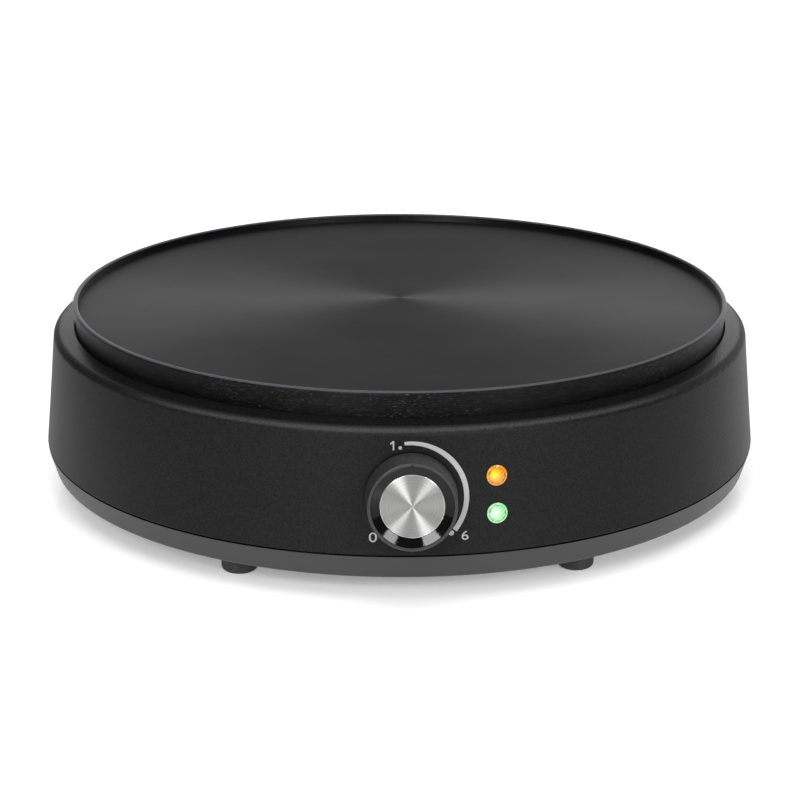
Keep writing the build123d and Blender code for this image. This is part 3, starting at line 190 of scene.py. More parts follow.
# Painted shade in the groove under the housing: a dark line there
groove_low, groove_shade_fade = 0.0224, 0.0002
level = add(tree, "ShaderNodeSeparateXYZ", {0: place})
groove_shade = add(tree, "ShaderNodeMapRange",
           {0: level.outputs[2], 1: groove_low - groove_shade_fade, 2: groove_low})
groove_shade_colour = add(tree, "ShaderNodeMix",
                  {0: groove_shade.outputs[0], 6: linear("363636"), 7: linear("050505")}, data_type="RGBA")
tree.links.new(groove_shade_colour.outputs[2], shader.inputs["Base Color"])


def dress(material, *nodes):
    """Give carried nodes their finish."""
    for node in nodes:
        for material_slot in frame["nodes"][node].material_slots:
            material_slot.material = material


dress(base_polypropylene, "base_cover")

# ---------------------------------------------------------------- feet
# Four round feet moulded in black nitrile rubber. A barbed stem on each is pushed through
# the base cover from below.
foot_nitrile, tree, shader, place = new_finish(
    "moulded_nitrile_rubber_black", "232323", 0.62, {"Specular IOR Level": 0.4}
)
# Talc left from moulding: paler, drier patches about 3 mm wide
talc = add(tree, "ShaderNodeTexNoise", {"Vector": place, "Scale": 1 / 0.003, "Detail": 4.0})
talc_amount = add(tree, "ShaderNodeMapRange", {0: talc.outputs[0], 1: 0.45, 2: 0.75, 4: 0.5})
talc_colour = add(
    tree, "ShaderNodeMix",
    {0: talc_amount.outputs[0], 6: linear("252525"), 7: linear("3e3e3d")}, data_type="RGBA",
)
talc_bump = add(
    tree, "ShaderNodeBump", {"Height": talc.outputs[0], "Strength": 0.3, "Distance": 0.0001}
)
tree.links.new(talc_colour.outputs[2], shader.inputs["Base Color"])
tree.links.new(talc_bump.outputs[0], shader.inputs["Normal"])
dress(foot_nitrile, "foot_front_left", "foot_front_right", "foot_rear_left", "foot_rear_right")

# ---------------------------------------------------------------- housing
# Tapered wall, ledge and inner shelf in one moulding of heat-resistant black plastic (PBT).
# The mould is spark-eroded, so the skin is matt with a fine even grain.
housing_pbt, tree, shader, place = new_finish(
    "spark_eroded_pbt_black", "0e0e0f", 0.5, {"IOR": 1.23}
)
# Spark-eroded grain: 0.25 mm on the real skin, drawn at 0.8 mm so that it shows. It is
# stronger on the ledge, where dust catches in it
shoulder_low, ledge_low, ledge_level = 0.0765, 0.0790, 0.0795
spot = add(tree, "ShaderNodeSeparateXYZ", {0: place})
ledge = add(tree, "ShaderNodeMapRange", {0: spot.outputs[2], 1: ledge_low, 2: ledge_level},
            interpolation_type="SMOOTHSTEP")
grain = add(tree, "ShaderNodeTexNoise", {"Vector": place, "Scale": 1 / 0.0008, "Detail": 2.0})
grain_depth = add(tree, "ShaderNodeMapRange", {0: ledge.outputs[0], 3: 0.5, 4: 0.9})
grain_bump = add(
    tree, "ShaderNodeBump",
    {"Height": grain.outputs[0], "Strength": grain_depth.outputs[0], "Distance": 0.0002},
)
grain_shade = add(tree, "ShaderNodeMapRange", {0: grain.outputs[0], 1: 0.3, 2: 0.7})
grain_colour = add(
    tree, "ShaderNodeMix",
    {0: grain_shade.outputs[0], 6: linear("080809"), 7: linear("191919")}, data_type="RGBA",
)
# Painted highlight along the shoulder at the front: paler where the skin turns over to the ledge
highlight_front, highlight_end = -0.145, -0.105
shoulder = add(tree, "ShaderNodeMapRange", {0: spot.outputs[2], 1: shoulder_low, 2: ledge_level})
painted_highlight_band = add(tree, "ShaderNodeValToRGB", {0: shoulder.outputs[0]})
stops = painted_highlight_band.color_ramp.elements
stops[0].position, stops[0].color = 0.1, (0, 0, 0, 1)
stops[1].position, stops[1].color = 0.35, (1, 1, 1, 1)
stops.new(0.55).color = (1, 1, 1, 1)
stops.new(0.8).color = (0, 0, 0, 1)
highlight_grain = add(tree, "ShaderNodeMapRange",
                   {0: grain.outputs[0], 1: 0.35, 2: 0.65, 3: 0.5, 4: 1.0})
front = add(tree, "ShaderNodeMapRange",
            {0: spot.outputs[1], 1: highlight_front, 2: highlight_end, 3: 1.0, 4: 0.0},
            interpolation_type="SMOOTHSTEP")
highlight_front_band = add(tree, "ShaderNodeMath", {0: painted_highlight_band.outputs[0], 1: front.outputs[0]},
                   operation="MULTIPLY")
painted_highlight_share = add(tree, "ShaderNodeMath", {0: highlight_front_band.outputs[0], 1: highlight_grain.outputs[0]},
                   operation="MULTIPLY")
# The shoulder's paler grey is a painted highlight
highlight_colour = add(
    tree, "ShaderNodeMix",
    {0: painted_highlight_share.outputs[0], 6: grain_colour.outputs[2], 7: linear("343435")},
    data_type="RGBA",
)
# Painted shade in the narrow gap behind the knob: a dark line round its foot. Depth is
# left out of the distance, so the rear wall is darkened in the same disc, behind the inlet
knob_foot, shade_end = 0.0201, 0.0210
on_wall = add(tree, "ShaderNodeVectorMath", {0: place, 1: (1, 0, 1)}, operation="MULTIPLY")
from_dial = add(tree, "ShaderNodeVectorMath",
                {0: on_wall.outputs[0], 1: (dial_centre.x, 0, dial_centre.z)},
                operation="DISTANCE")
knob_gap_shade = add(tree, "ShaderNodeMapRange",
           {0: from_dial.outputs[1], 1: knob_foot, 2: shade_end, 3: 1.0, 4: 0.0})
knob_gap_shade_colour = add(tree, "ShaderNodeMix",
                  {0: knob_gap_shade.outputs[0], 6: highlight_colour.outputs[2], 7: linear("010101")},
                  data_type="RGBA")
# The ledge comes from a smoother part of the mould than the eroded wall; handling polishes
# both unevenly, in patches some 70 mm wide
polish = add(tree, "ShaderNodeTexNoise", {"Vector": place, "Scale": 14.0, "Detail": 2.0})
eroded = add(tree, "ShaderNodeMapRange", {0: polish.outputs[0], 3: 0.44, 4: 0.50})
smooth = add(tree, "ShaderNodeMapRange", {0: polish.outputs[0], 3: 0.16, 4: 0.22})
polish_shade = add(tree, "ShaderNodeMix",
                   {0: ledge.outputs[0], 2: eroded.outputs[0], 3: smooth.outputs[0]})
tree.links.new(knob_gap_shade_colour.outputs[2], shader.inputs["Base Color"])
tree.links.new(grain_bump.outputs[0], shader.inputs["Normal"])
tree.links.new(polish_shade.outputs[0], shader.inputs["Roughness"])
dress(housing_pbt, "upper_housing")

# ---------------------------------------------------------------- dial print
# Scale for the knob, pad-printed in light grey ink on the leaning wall: a band that runs
# from the lowest heat to the highest, a dot at each end, and plain numbers.
dial_out = -Vector(dial["axis"])
dial_right = Vector((1, 0, 0))
dial_up = dial_out.cross(dial_right)
dial_place = Matrix.Translation(dial_centre) @ Matrix(
    (dial_right, dial_up, dial_out)
).transposed().to_4x4()
wall_lean = math.asin(dial_out.z)

ink_lift = 0.00005
band_outer, band_start_width, band_end_width = 0.0248, 0.0015, 0.0022
# Angles are clockwise from upright
band_start, band_end = math.radians(-6.9), math.radians(128.2)
low_dot, low_dot_ring, low_dot_angle = 0.00075, 0.0225, math.radians(-12.0)
high_dot, high_dot_ring, high_dot_angle = 0.00117, 0.0234, math.radians(132.8)
# Place across and up, width and height
numerals = (("0", -0.01645, -0.0175, 0.00345, 0.00425), ("6", 0.0231, -0.0172, 0.0030, 0.0040))
one_place, one_stroke, one_flag, one_height = (-0.0079, 0.0230), 0.00065, 0.0010, 0.0040

ink, tree, shader, place = new_finish("pad_print_ink_light_grey", "989897", 0.45)
# Ink film: a little uneven, so the grey varies over half a millimetre
film = add(tree, "ShaderNodeTexNoise", {"Vector": place, "Scale": 1 / 0.0005, "Detail": 2.0})
film_colour = add(
    tree, "ShaderNodeMix",
    {0: film.outputs[0], 6: linear("868685"), 7: linear("a9a9a7")}, data_type="RGBA",
)
tree.links.new(film_colour.outputs[2], shader.inputs["Base Color"])

printed = []
for number, across, up, numeral_width, numeral_height in numerals:
    letter = bpy.data.curves.new("numeral", "FONT")
    letter.body = number
    letter_object = bpy.data.objects.new("numeral", letter)
    shape = bpy.data.meshes.new_from_object(letter_object)
    low = [min(v.co[i] for v in shape.vertices) for i in (0, 1)]
    high = [max(v.co[i] for v in shape.vertices) for i in (0, 1)]
    size = (numeral_width / (high[0] - low[0]), numeral_height / (high[1] - low[1]), 1.0)
    middle = Vector(((low[0] + high[0]) / 2, (low[1] + high[1]) / 2, 0))
    shape.transform(
        Matrix.Translation((across, up, 0)) @ Matrix.Diagonal((*size, 1.0))
        @ Matrix.Translation(-middle)
    )
    printed.append(shape)
# The font's own 1 is a plain bar, so the 1 is drawn with a flag
one_x, one_y = one_place[0], one_place[1] - one_height / 2
one = bpy.data.meshes.new("numeral")
one.from_pydata([
    (one_x, one_y, 0), (one_x + one_stroke, one_y, 0),
    (one_x + one_stroke, one_y + one_height, 0),
    (one_x + one_stroke / 4, one_y + one_height, 0),
    (one_x - one_flag, one_y + one_height - one_flag, 0),
    (one_x - one_flag, one_y + one_height - one_flag - one_stroke, 0),
    (one_x, one_y + one_height - one_flag, 0),
], [], [tuple(range(7))])
printed.append(one)
points = [tuple(v.co) for shape in printed for v in shape.vertices]
starts = [sum(len(s.vertices) for s in printed[:i]) for i in range(len(printed))]
faces = [
    tuple(v + start for v in face.vertices)
    for shape, start in zip(printed, starts) for face in shape.polygons
]
numeral_mesh = bpy.data.meshes.new("dial_numerals")
numeral_mesh.from_pydata(points, [], faces)
numeral_object = bpy.data.objects.new("dial_numerals", numeral_mesh)
studio.collection.objects.link(numeral_object)

# The tree lays band and dots beside the numerals and wraps all of it on the leaning wall
wrap = bpy.data.node_groups.new("dial_scale", "GeometryNodeTree")
wrap.is_modifier = True
for label, kind in (
    ("Numerals", "Geometry"), ("Band Outer", "Float"), ("Band Start Width", "Float"),
    ("Band End Width", "Float"), ("Band Start", "Float"), ("Band End", "Float"),
    ("Low Dot", "Float"), ("Low Dot Ring", "Float"), ("Low Dot Angle", "Float"),
    ("High Dot", "Float"), ("High Dot Ring", "Float"), ("High Dot Angle", "Float"),
    ("Wall Radius", "Float"), ("Wall Lean", "Float"), ("Ink Lift", "Float"), ("Ink", "Material"),
):
    wrap.interface.new_socket(label, in_out="INPUT", socket_type="NodeSocket" + kind)
wrap.interface.new_socket("Print", in_out="OUTPUT", socket_type="NodeSocketGeometry")
given = add(wrap, "NodeGroupInput").outputs
# A unit strip with 121 points along it and 4 across is bent into the band
strip = add(wrap, "GeometryNodeMeshGrid", {0: 1.0, 1: 1.0, 2: 121, 3: 4})
spot = add(wrap, "ShaderNodeSeparateXYZ", {0: add(wrap, "GeometryNodeInputPosition").outputs[0]})
angle = add(
    wrap, "ShaderNodeMapRange",
    {0: spot.outputs[0], 1: -0.5, 2: 0.5, 3: given["Band Start"], 4: given["Band End"]},
)
# The band starts thin and widens over its first third
thickness = add(
    wrap, "ShaderNodeMapRange",
    {0: spot.outputs[0], 1: -0.5, 2: -0.17, 3: given["Band Start Width"],
     4: given["Band End Width"]},
)
inner = add(wrap, "ShaderNodeMath", {0: given["Band Outer"], 1: thickness.outputs[0]},
            operation="SUBTRACT")
reach = add(
    wrap, "ShaderNodeMapRange",
    {0: spot.outputs[1], 1: 0.5, 2: -0.5, 3: inner.outputs[0], 4: given["Band Outer"]},
)
sine = add(wrap, "ShaderNodeMath", {0: angle.outputs[0]}, operation="SINE")
cosine = add(wrap, "ShaderNodeMath", {0: angle.outputs[0]}, operation="COSINE")
band_x = add(wrap, "ShaderNodeMath", {0: reach.outputs[0], 1: sine.outputs[0]},
             operation="MULTIPLY")
band_y = add(wrap, "ShaderNodeMath", {0: reach.outputs[0], 1: cosine.outputs[0]},
             operation="MULTIPLY")
on_ring = add(wrap, "ShaderNodeCombineXYZ", {0: band_x.outputs[0], 1: band_y.outputs[0]})
band = add(wrap, "GeometryNodeSetPosition", {0: strip.outputs[0], 2: on_ring.outputs[0]})
laid = [given["Numerals"], band.outputs[0]]
for end in ("Low", "High"):
    disc = add(wrap, "GeometryNodeMeshCircle", {0: 32, 1: given[f"{end} Dot"]}, fill_type="NGON")
    dot_sine = add(wrap, "ShaderNodeMath", {0: given[f"{end} Dot Angle"]}, operation="SINE")
    dot_cosine = add(wrap, "ShaderNodeMath", {0: given[f"{end} Dot Angle"]}, operation="COSINE")
    dot_side = add(wrap, "ShaderNodeCombineXYZ", {0: dot_sine.outputs[0], 1: dot_cosine.outputs[0]})
    dot_shift = add(wrap, "ShaderNodeVectorMath",
                    {0: dot_side.outputs[0], 3: given[f"{end} Dot Ring"]}, operation="SCALE")
    moved = add(wrap, "GeometryNodeTransform", {0: disc.outputs[0], 1: dot_shift.outputs[0]})
    laid.append(moved.outputs[0])
joined = add(wrap, "GeometryNodeJoinGeometry")
for part_laid in laid:
    wrap.links.new(part_laid, joined.inputs[0])
# Depth of the cone behind the dial's flat plane at (x, y):
# d = (sqrt((A / cos)^2 - (1 - tan^2) x^2) - A / cos) / (1 - tan^2), with A = radius - y sin
flat = add(wrap, "ShaderNodeSeparateXYZ", {0: add(wrap, "GeometryNodeInputPosition").outputs[0]})
lean_sine = add(wrap, "ShaderNodeMath", {0: given["Wall Lean"]}, operation="SINE")
lean_cosine = add(wrap, "ShaderNodeMath", {0: given["Wall Lean"]}, operation="COSINE")
lean_tan = add(wrap, "ShaderNodeMath", {0: given["Wall Lean"]}, operation="TANGENT")
fall = add(wrap, "ShaderNodeMath", {0: flat.outputs[1], 1: lean_sine.outputs[0]},
           operation="MULTIPLY")
girth = add(wrap, "ShaderNodeMath", {0: given["Wall Radius"], 1: fall.outputs[0]},
            operation="SUBTRACT")
slant = add(wrap, "ShaderNodeMath", {0: girth.outputs[0], 1: lean_cosine.outputs[0]},
            operation="DIVIDE")
slant_square = add(wrap, "ShaderNodeMath", {0: slant.outputs[0], 1: slant.outputs[0]},
                   operation="MULTIPLY")
tan_square = add(wrap, "ShaderNodeMath", {0: lean_tan.outputs[0], 1: lean_tan.outputs[0]},
                 operation="MULTIPLY")
rest = add(wrap, "ShaderNodeMath", {0: 1.0, 1: tan_square.outputs[0]}, operation="SUBTRACT")
side_square = add(wrap, "ShaderNodeMath", {0: flat.outputs[0], 1: flat.outputs[0]},
                  operation="MULTIPLY")
side_part = add(wrap, "ShaderNodeMath", {0: rest.outputs[0], 1: side_square.outputs[0]},
                operation="MULTIPLY")
under_root = add(wrap, "ShaderNodeMath", {0: slant_square.outputs[0], 1: side_part.outputs[0]},
                 operation="SUBTRACT")
root = add(wrap, "ShaderNodeMath", {0: under_root.outputs[0]}, operation="SQRT")
sag = add(wrap, "ShaderNodeMath", {0: root.outputs[0], 1: slant.outputs[0]}, operation="SUBTRACT")
depth = add(wrap, "ShaderNodeMath", {0: sag.outputs[0], 1: rest.outputs[0]}, operation="DIVIDE")
lifted = add(wrap, "ShaderNodeMath", {0: depth.outputs[0], 1: given["Ink Lift"]}, operation="ADD")
on_cone = add(wrap, "ShaderNodeCombineXYZ",
              {0: flat.outputs[0], 1: flat.outputs[1], 2: lifted.outputs[0]})
wrapped = add(wrap, "GeometryNodeSetPosition", {0: joined.outputs[0], 2: on_cone.outputs[0]})
real = add(wrap, "GeometryNodeRealizeInstances", {0: wrapped.outputs[0]})
inked = add(wrap, "GeometryNodeSetMaterial", {0: real.outputs[0], 2: given["Ink"]})
add(wrap, "NodeGroupOutput", {0: inked.outputs[0]})


def grow(carrier, tree, sizes, name, place, body):
    """Run a tree on its carrier with these sizes, and keep the plain mesh in its place."""
    modifier = carrier.modifiers.new("tree", "NODES")
    modifier.node_group = tree
    for socket in tree.interface.items_tree:
        if socket.in_out == "INPUT" and socket.name in sizes:
            modifier[socket.identifier] = sizes[socket.name]
    bpy.context.view_layer.update()
    evaluated = carrier.evaluated_get(bpy.context.evaluated_depsgraph_get())
    mesh = bpy.data.meshes.new_from_object(evaluated)
    bpy.data.objects.remove(carrier)
    mesh.transform(place)
    mesh.name = name
    piece = bpy.data.objects.new(name, mesh)
    studio.collection.objects.link(piece)
    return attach(piece, body)


grow(numeral_object, wrap, {
    "Band Outer": band_outer, "Band Start Width": band_start_width,
    "Band End Width": band_end_width, "Band Start": band_start, "Band End": band_end,
    "Low Dot": low_dot, "Low Dot Ring": low_dot_ring, "Low Dot Angle": low_dot_angle,
    "High Dot": high_dot, "High Dot Ring": high_dot_ring, "High Dot Angle": high_dot_angle,
    "Wall Radius": -dial_centre.y, "Wall Lean": wall_lean, "Ink Lift": ink_lift, "Ink": ink,
}, "dial_print", dial_place, "base")

# ---------------------------------------------------------------- knob body
# Round knob moulded in black ABS with a satin skin: a slightly drawn wall, a rounded front
# edge and a notch as pointer. It pushes on the thermostat's spindle.
knob_abs, tree, shader, place = new_finish(
    "satin_abs_black", "2c2c2d", 0.36, {"Specular IOR Level": 0.3}
)
# Satin skin: 0.5 mm grain, drawn coarser than the real one so that it shows
satin = add(tree, "ShaderNodeTexNoise", {"Vector": place, "Scale": 1 / 0.0005, "Detail": 1.0})
satin_bump = add(
    tree, "ShaderNodeBump", {"Height": satin.outputs[0], "Strength": 0.2, "Distance": 0.00004}
)
# Fingers polish it unevenly, in patches of about 8 mm
touch = add(tree, "ShaderNodeTexNoise", {"Vector": place, "Scale": 120.0, "Detail": 2.0})
touch_shade = add(tree, "ShaderNodeMapRange", {0: touch.outputs[0], 3: 0.32, 4: 0.42})
tree.links.new(satin_bump.outputs[0], shader.inputs["Normal"])
tree.links.new(touch_shade.outputs[0], shader.inputs["Roughness"])
dress(knob_abs, "knob_body")

# ---------------------------------------------------------------- knob ring and cap
# Polished black ring, dished towards the cap, and a cap turned from aluminium sheet with a
# fine concentric cut and a brighter edge. Both are pressed and glued on the knob's web.
turned = bpy.data.node_groups.new("turned_piece", "GeometryNodeTree")
turned.is_modifier = True
for label, kind in (
    ("Blank", "Geometry"), ("Inner Radius", "Float"), ("Outer Radius", "Float"),
    ("Top", "Float"), ("Rise", "Float"), ("Dome", "Float"), ("Edge", "Float"),
    ("Side", "Float"), ("Groove Pitch", "Float"), ("Groove Depth", "Float"), ("Around", "Int"),
    ("Across", "Int"), ("Finish", "Material"),
):
    turned.interface.new_socket(label, in_out="INPUT", socket_type="NodeSocket" + kind)
turned.interface.new_socket("Piece", in_out="OUTPUT", socket_type="NodeSocketGeometry")
given = add(turned, "NodeGroupInput").outputs
# The grid's width goes round the axis, its height runs out over the face, round the edge
# and down the side
width = add(turned, "ShaderNodeMath", {0: given["Outer Radius"], 1: given["Inner Radius"]},
            operation="SUBTRACT")
face_run = add(turned, "ShaderNodeMath", {0: width.outputs[0], 1: given["Edge"]},
               operation="SUBTRACT")
run = add(turned, "ShaderNodeMath", {0: width.outputs[0], 1: given["Side"]}, operation="ADD")
blank = add(turned, "GeometryNodeMeshGrid",
            {0: 1.0, 1: 1.0, 2: given["Around"], 3: given["Across"]})
spot = add(turned, "ShaderNodeSeparateXYZ",
           {0: add(turned, "GeometryNodeInputPosition").outputs[0]})
angle = add(turned, "ShaderNodeMapRange",
            {0: spot.outputs[0], 1: -0.5, 2: 0.5, 3: math.tau, 4: 0.0})
along = add(turned, "ShaderNodeMapRange", {0: spot.outputs[1], 1: -0.5, 2: 0.5, 4: run.outputs[0]})
reach = add(
    turned, "ShaderNodeMapRange",
    {0: along.outputs[0], 2: width.outputs[0], 3: given["Inner Radius"], 4: given["Outer Radius"]},
)
slope = add(turned, "ShaderNodeMapRange",
            {0: along.outputs[0], 2: width.outputs[0], 3: 1.0, 4: 0.0})
slope_fall = add(turned, "ShaderNodeMath", {0: slope.outputs[0], 1: given["Rise"]},
                 operation="MULTIPLY")
share = add(turned, "ShaderNodeMath", {0: reach.outputs[0], 1: given["Outer Radius"]},
            operation="DIVIDE")
share_square = add(turned, "ShaderNodeMath", {0: share.outputs[0], 1: share.outputs[0]},
                   operation="MULTIPLY")
dome_fall = add(turned, "ShaderNodeMath", {0: share_square.outputs[0], 1: given["Dome"]},
                operation="MULTIPLY")
edge_share = add(turned, "ShaderNodeMapRange",
                 {0: along.outputs[0], 1: face_run.outputs[0], 2: width.outputs[0]})
edge_square = add(turned, "ShaderNodeMath", {0: edge_share.outputs[0], 1: edge_share.outputs[0]},
                  operation="MULTIPLY")
edge_fall = add(turned, "ShaderNodeMath", {0: edge_square.outputs[0], 1: given["Edge"]},
                operation="MULTIPLY")
side_fall = add(turned, "ShaderNodeMapRange",
                {0: along.outputs[0], 1: width.outputs[0], 2: run.outputs[0], 4: given["Side"]})
turns = add(turned, "ShaderNodeMath", {0: reach.outputs[0], 1: given["Groove Pitch"]},
            operation="DIVIDE")
phase = add(turned, "ShaderNodeMath", {0: turns.outputs[0], 1: math.tau}, operation="MULTIPLY")
wave = add(turned, "ShaderNodeMath", {0: phase.outputs[0]}, operation="SINE")
on_face = add(turned, "ShaderNodeMath", {0: along.outputs[0], 1: face_run.outputs[0]},
              operation="LESS_THAN")
cut = add(turned, "ShaderNodeMath", {0: wave.outputs[0], 1: given["Groove Depth"]},
          operation="MULTIPLY")
groove = add(turned, "ShaderNodeMath", {0: cut.outputs[0], 1: on_face.outputs[0]},
             operation="MULTIPLY")
level = given["Top"]
for drop in (slope_fall, dome_fall, edge_fall, side_fall, groove):
    level = add(turned, "ShaderNodeMath", {0: level, 1: drop.outputs[0]},
                operation="SUBTRACT").outputs[0]
sine = add(turned, "ShaderNodeMath", {0: angle.outputs[0]}, operation="SINE")
cosine = add(turned, "ShaderNodeMath", {0: angle.outputs[0]}, operation="COSINE")
across = add(turned, "ShaderNodeMath", {0: reach.outputs[0], 1: cosine.outputs[0]},
             operation="MULTIPLY")
upward = add(turned, "ShaderNodeMath", {0: reach.outputs[0], 1: sine.outputs[0]},
             operation="MULTIPLY")
turned_to = add(turned, "ShaderNodeCombineXYZ",
                {0: across.outputs[0], 1: upward.outputs[0], 2: level})
shaped = add(turned, "GeometryNodeSetPosition", {0: blank.outputs[0], 2: turned_to.outputs[0]})
# The seam and the middle are closed
closed = add(turned, "GeometryNodeMergeByDistance", {0: shaped.outputs[0], 2: 1e-7})
smooth = add(turned, "GeometryNodeSetShadeSmooth", {0: closed.outputs[0]})
real = add(turned, "GeometryNodeRealizeInstances", {0: smooth.outputs[0]})
finished = add(turned, "GeometryNodeSetMaterial", {0: real.outputs[0], 2: given["Finish"]})
add(turned, "NodeGroupOutput", {0: finished.outputs[0]})


def turn_piece(name, sizes, place, body):
    """Turn a piece on the tree above, with crisp corners."""
    blank_piece = bpy.data.objects.new(name, bpy.data.meshes.new(name))
    studio.collection.objects.link(blank_piece)
    piece = grow(blank_piece, turned, sizes, name, place, body)
    piece.data.set_sharp_from_angle(angle=math.radians(32))
    return piece


# Polished black ABS: near-black, so only clear reflections show on it. Wiping marks about
# 1.2 mm apart make them waver a little
ring_gloss, tree, shader, place = new_finish(
    "polished_abs_black", "070708", 0.05, {"Specular IOR Level": 0.23}
)
wipe = add(tree, "ShaderNodeTexNoise", {"Vector": place, "Scale": 1 / 0.0012, "Detail": 3.0})
wipe_shade = add(tree, "ShaderNodeMapRange", {0: wipe.outputs[0], 3: 0.03, 4: 0.09})
wipe_bump = add(
    tree, "ShaderNodeBump", {"Height": wipe.outputs[0], "Strength": 0.15, "Distance": 0.0001}
)
tree.links.new(wipe_shade.outputs[0], shader.inputs["Roughness"])
tree.links.new(wipe_bump.outputs[0], shader.inputs["Normal"])
knob_ring = turn_piece("knob_ring_dished", {
    "Inner Radius": 0.0139, "Outer Radius": 0.0177, "Top": 0.0155, "Rise": 0.00165,
    "Edge": 0.00015, "Side": 0.0008, "Groove Pitch": 1.0, "Around": 193, "Across": 40,
    "Finish": ring_gloss,
}, dial_place, "knob")
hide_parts("knob_ring")

# Turned aluminium, uncoated: light is drawn out across the cut, into wedges that stay put
# as the knob turns
cap_radius, cap_edge = 0.01385, 0.0003
cap_aluminium, tree, shader, place = new_finish(
    "turned_aluminium", "a2a2a0", 0.45, {"Metallic": 1.0, "Anisotropic": 1.0}
)
from_axis = add(tree, "ShaderNodeVectorMath", {0: place, 1: dial_centre}, operation="SUBTRACT")
along_cut = add(tree, "ShaderNodeVectorMath", {0: dial_out, 1: from_axis.outputs[0]},
                operation="CROSS_PRODUCT")
across_cut = add(tree, "ShaderNodeVectorMath", {0: along_cut.outputs[0], 1: dial_out},
                 operation="CROSS_PRODUCT")
in_world = add(tree, "ShaderNodeVectorTransform", {0: across_cut.outputs[0]},
               vector_type="VECTOR", convert_from="OBJECT", convert_to="WORLD")
tree.links.new(in_world.outputs[0], shader.inputs["Tangent"])
# Tool marks: rings of slightly different roughness, 0.7 mm apart
marks = add(tree, "ShaderNodeVectorMath", {0: along_cut.outputs[0]}, operation="LENGTH")
marks_noise = add(
    tree, "ShaderNodeTexNoise", {"W": marks.outputs[1], "Scale": 1 / 0.0007, "Detail": 2.0},
    noise_dimensions="1D",
)
marks_shade = add(tree, "ShaderNodeMapRange", {0: marks_noise.outputs[0], 3: 0.36, 4: 0.43})
marks_colour = add(tree, "ShaderNodeMix",
                   {0: marks_noise.outputs[0], 6: linear("929291"), 7: linear("a9a9a7")},
                   data_type="RGBA")
# The rounded edge is cut last with a sharp tool: a brighter line round the cap
edge_line = add(
    tree, "ShaderNodeMapRange",
    {0: marks.outputs[1], 1: cap_radius - cap_edge - 0.0001, 2: cap_radius - cap_edge},
)
cap_shade = add(tree, "ShaderNodeMix",
                {0: edge_line.outputs[0], 2: marks_shade.outputs[0], 3: 0.38})
cap_colour = add(tree, "ShaderNodeMix",
                 {0: edge_line.outputs[0], 6: marks_colour.outputs[2], 7: linear("e2e2e0")},
                 data_type="RGBA")
tree.links.new(cap_shade.outputs[0], shader.inputs["Roughness"])
tree.links.new(cap_colour.outputs[2], shader.inputs["Base Color"])
knob_cap = turn_piece("knob_cap_turned", {
    "Inner Radius": 0.0, "Outer Radius": cap_radius, "Top": 0.0138, "Edge": cap_edge,
    "Side": 0.0009, "Groove Pitch": 0.0005, "Groove Depth": 0.000006, "Around": 193, "Across": 260,
    "Finish": cap_aluminium,
}, dial_place, "knob")
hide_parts("knob_cap")

# ---------------------------------------------------------------- indicator lenses
# Two tinted polycarbonate lenses, amber over green, pushed into holes of the wall from
# outside. A neon lamp behind each lights the prisms moulded inside.
deck_turn = math.radians(12.3)
deck_pitch, lens_radius, lens_dome = 0.0167, 0.0047, 0.0013
deck = Matrix.Rotation(deck_turn, 4, "Z") @ dial_place
# In lens radii from the lens's middle
lamp_spot = (-0.25, 0.1, 0)
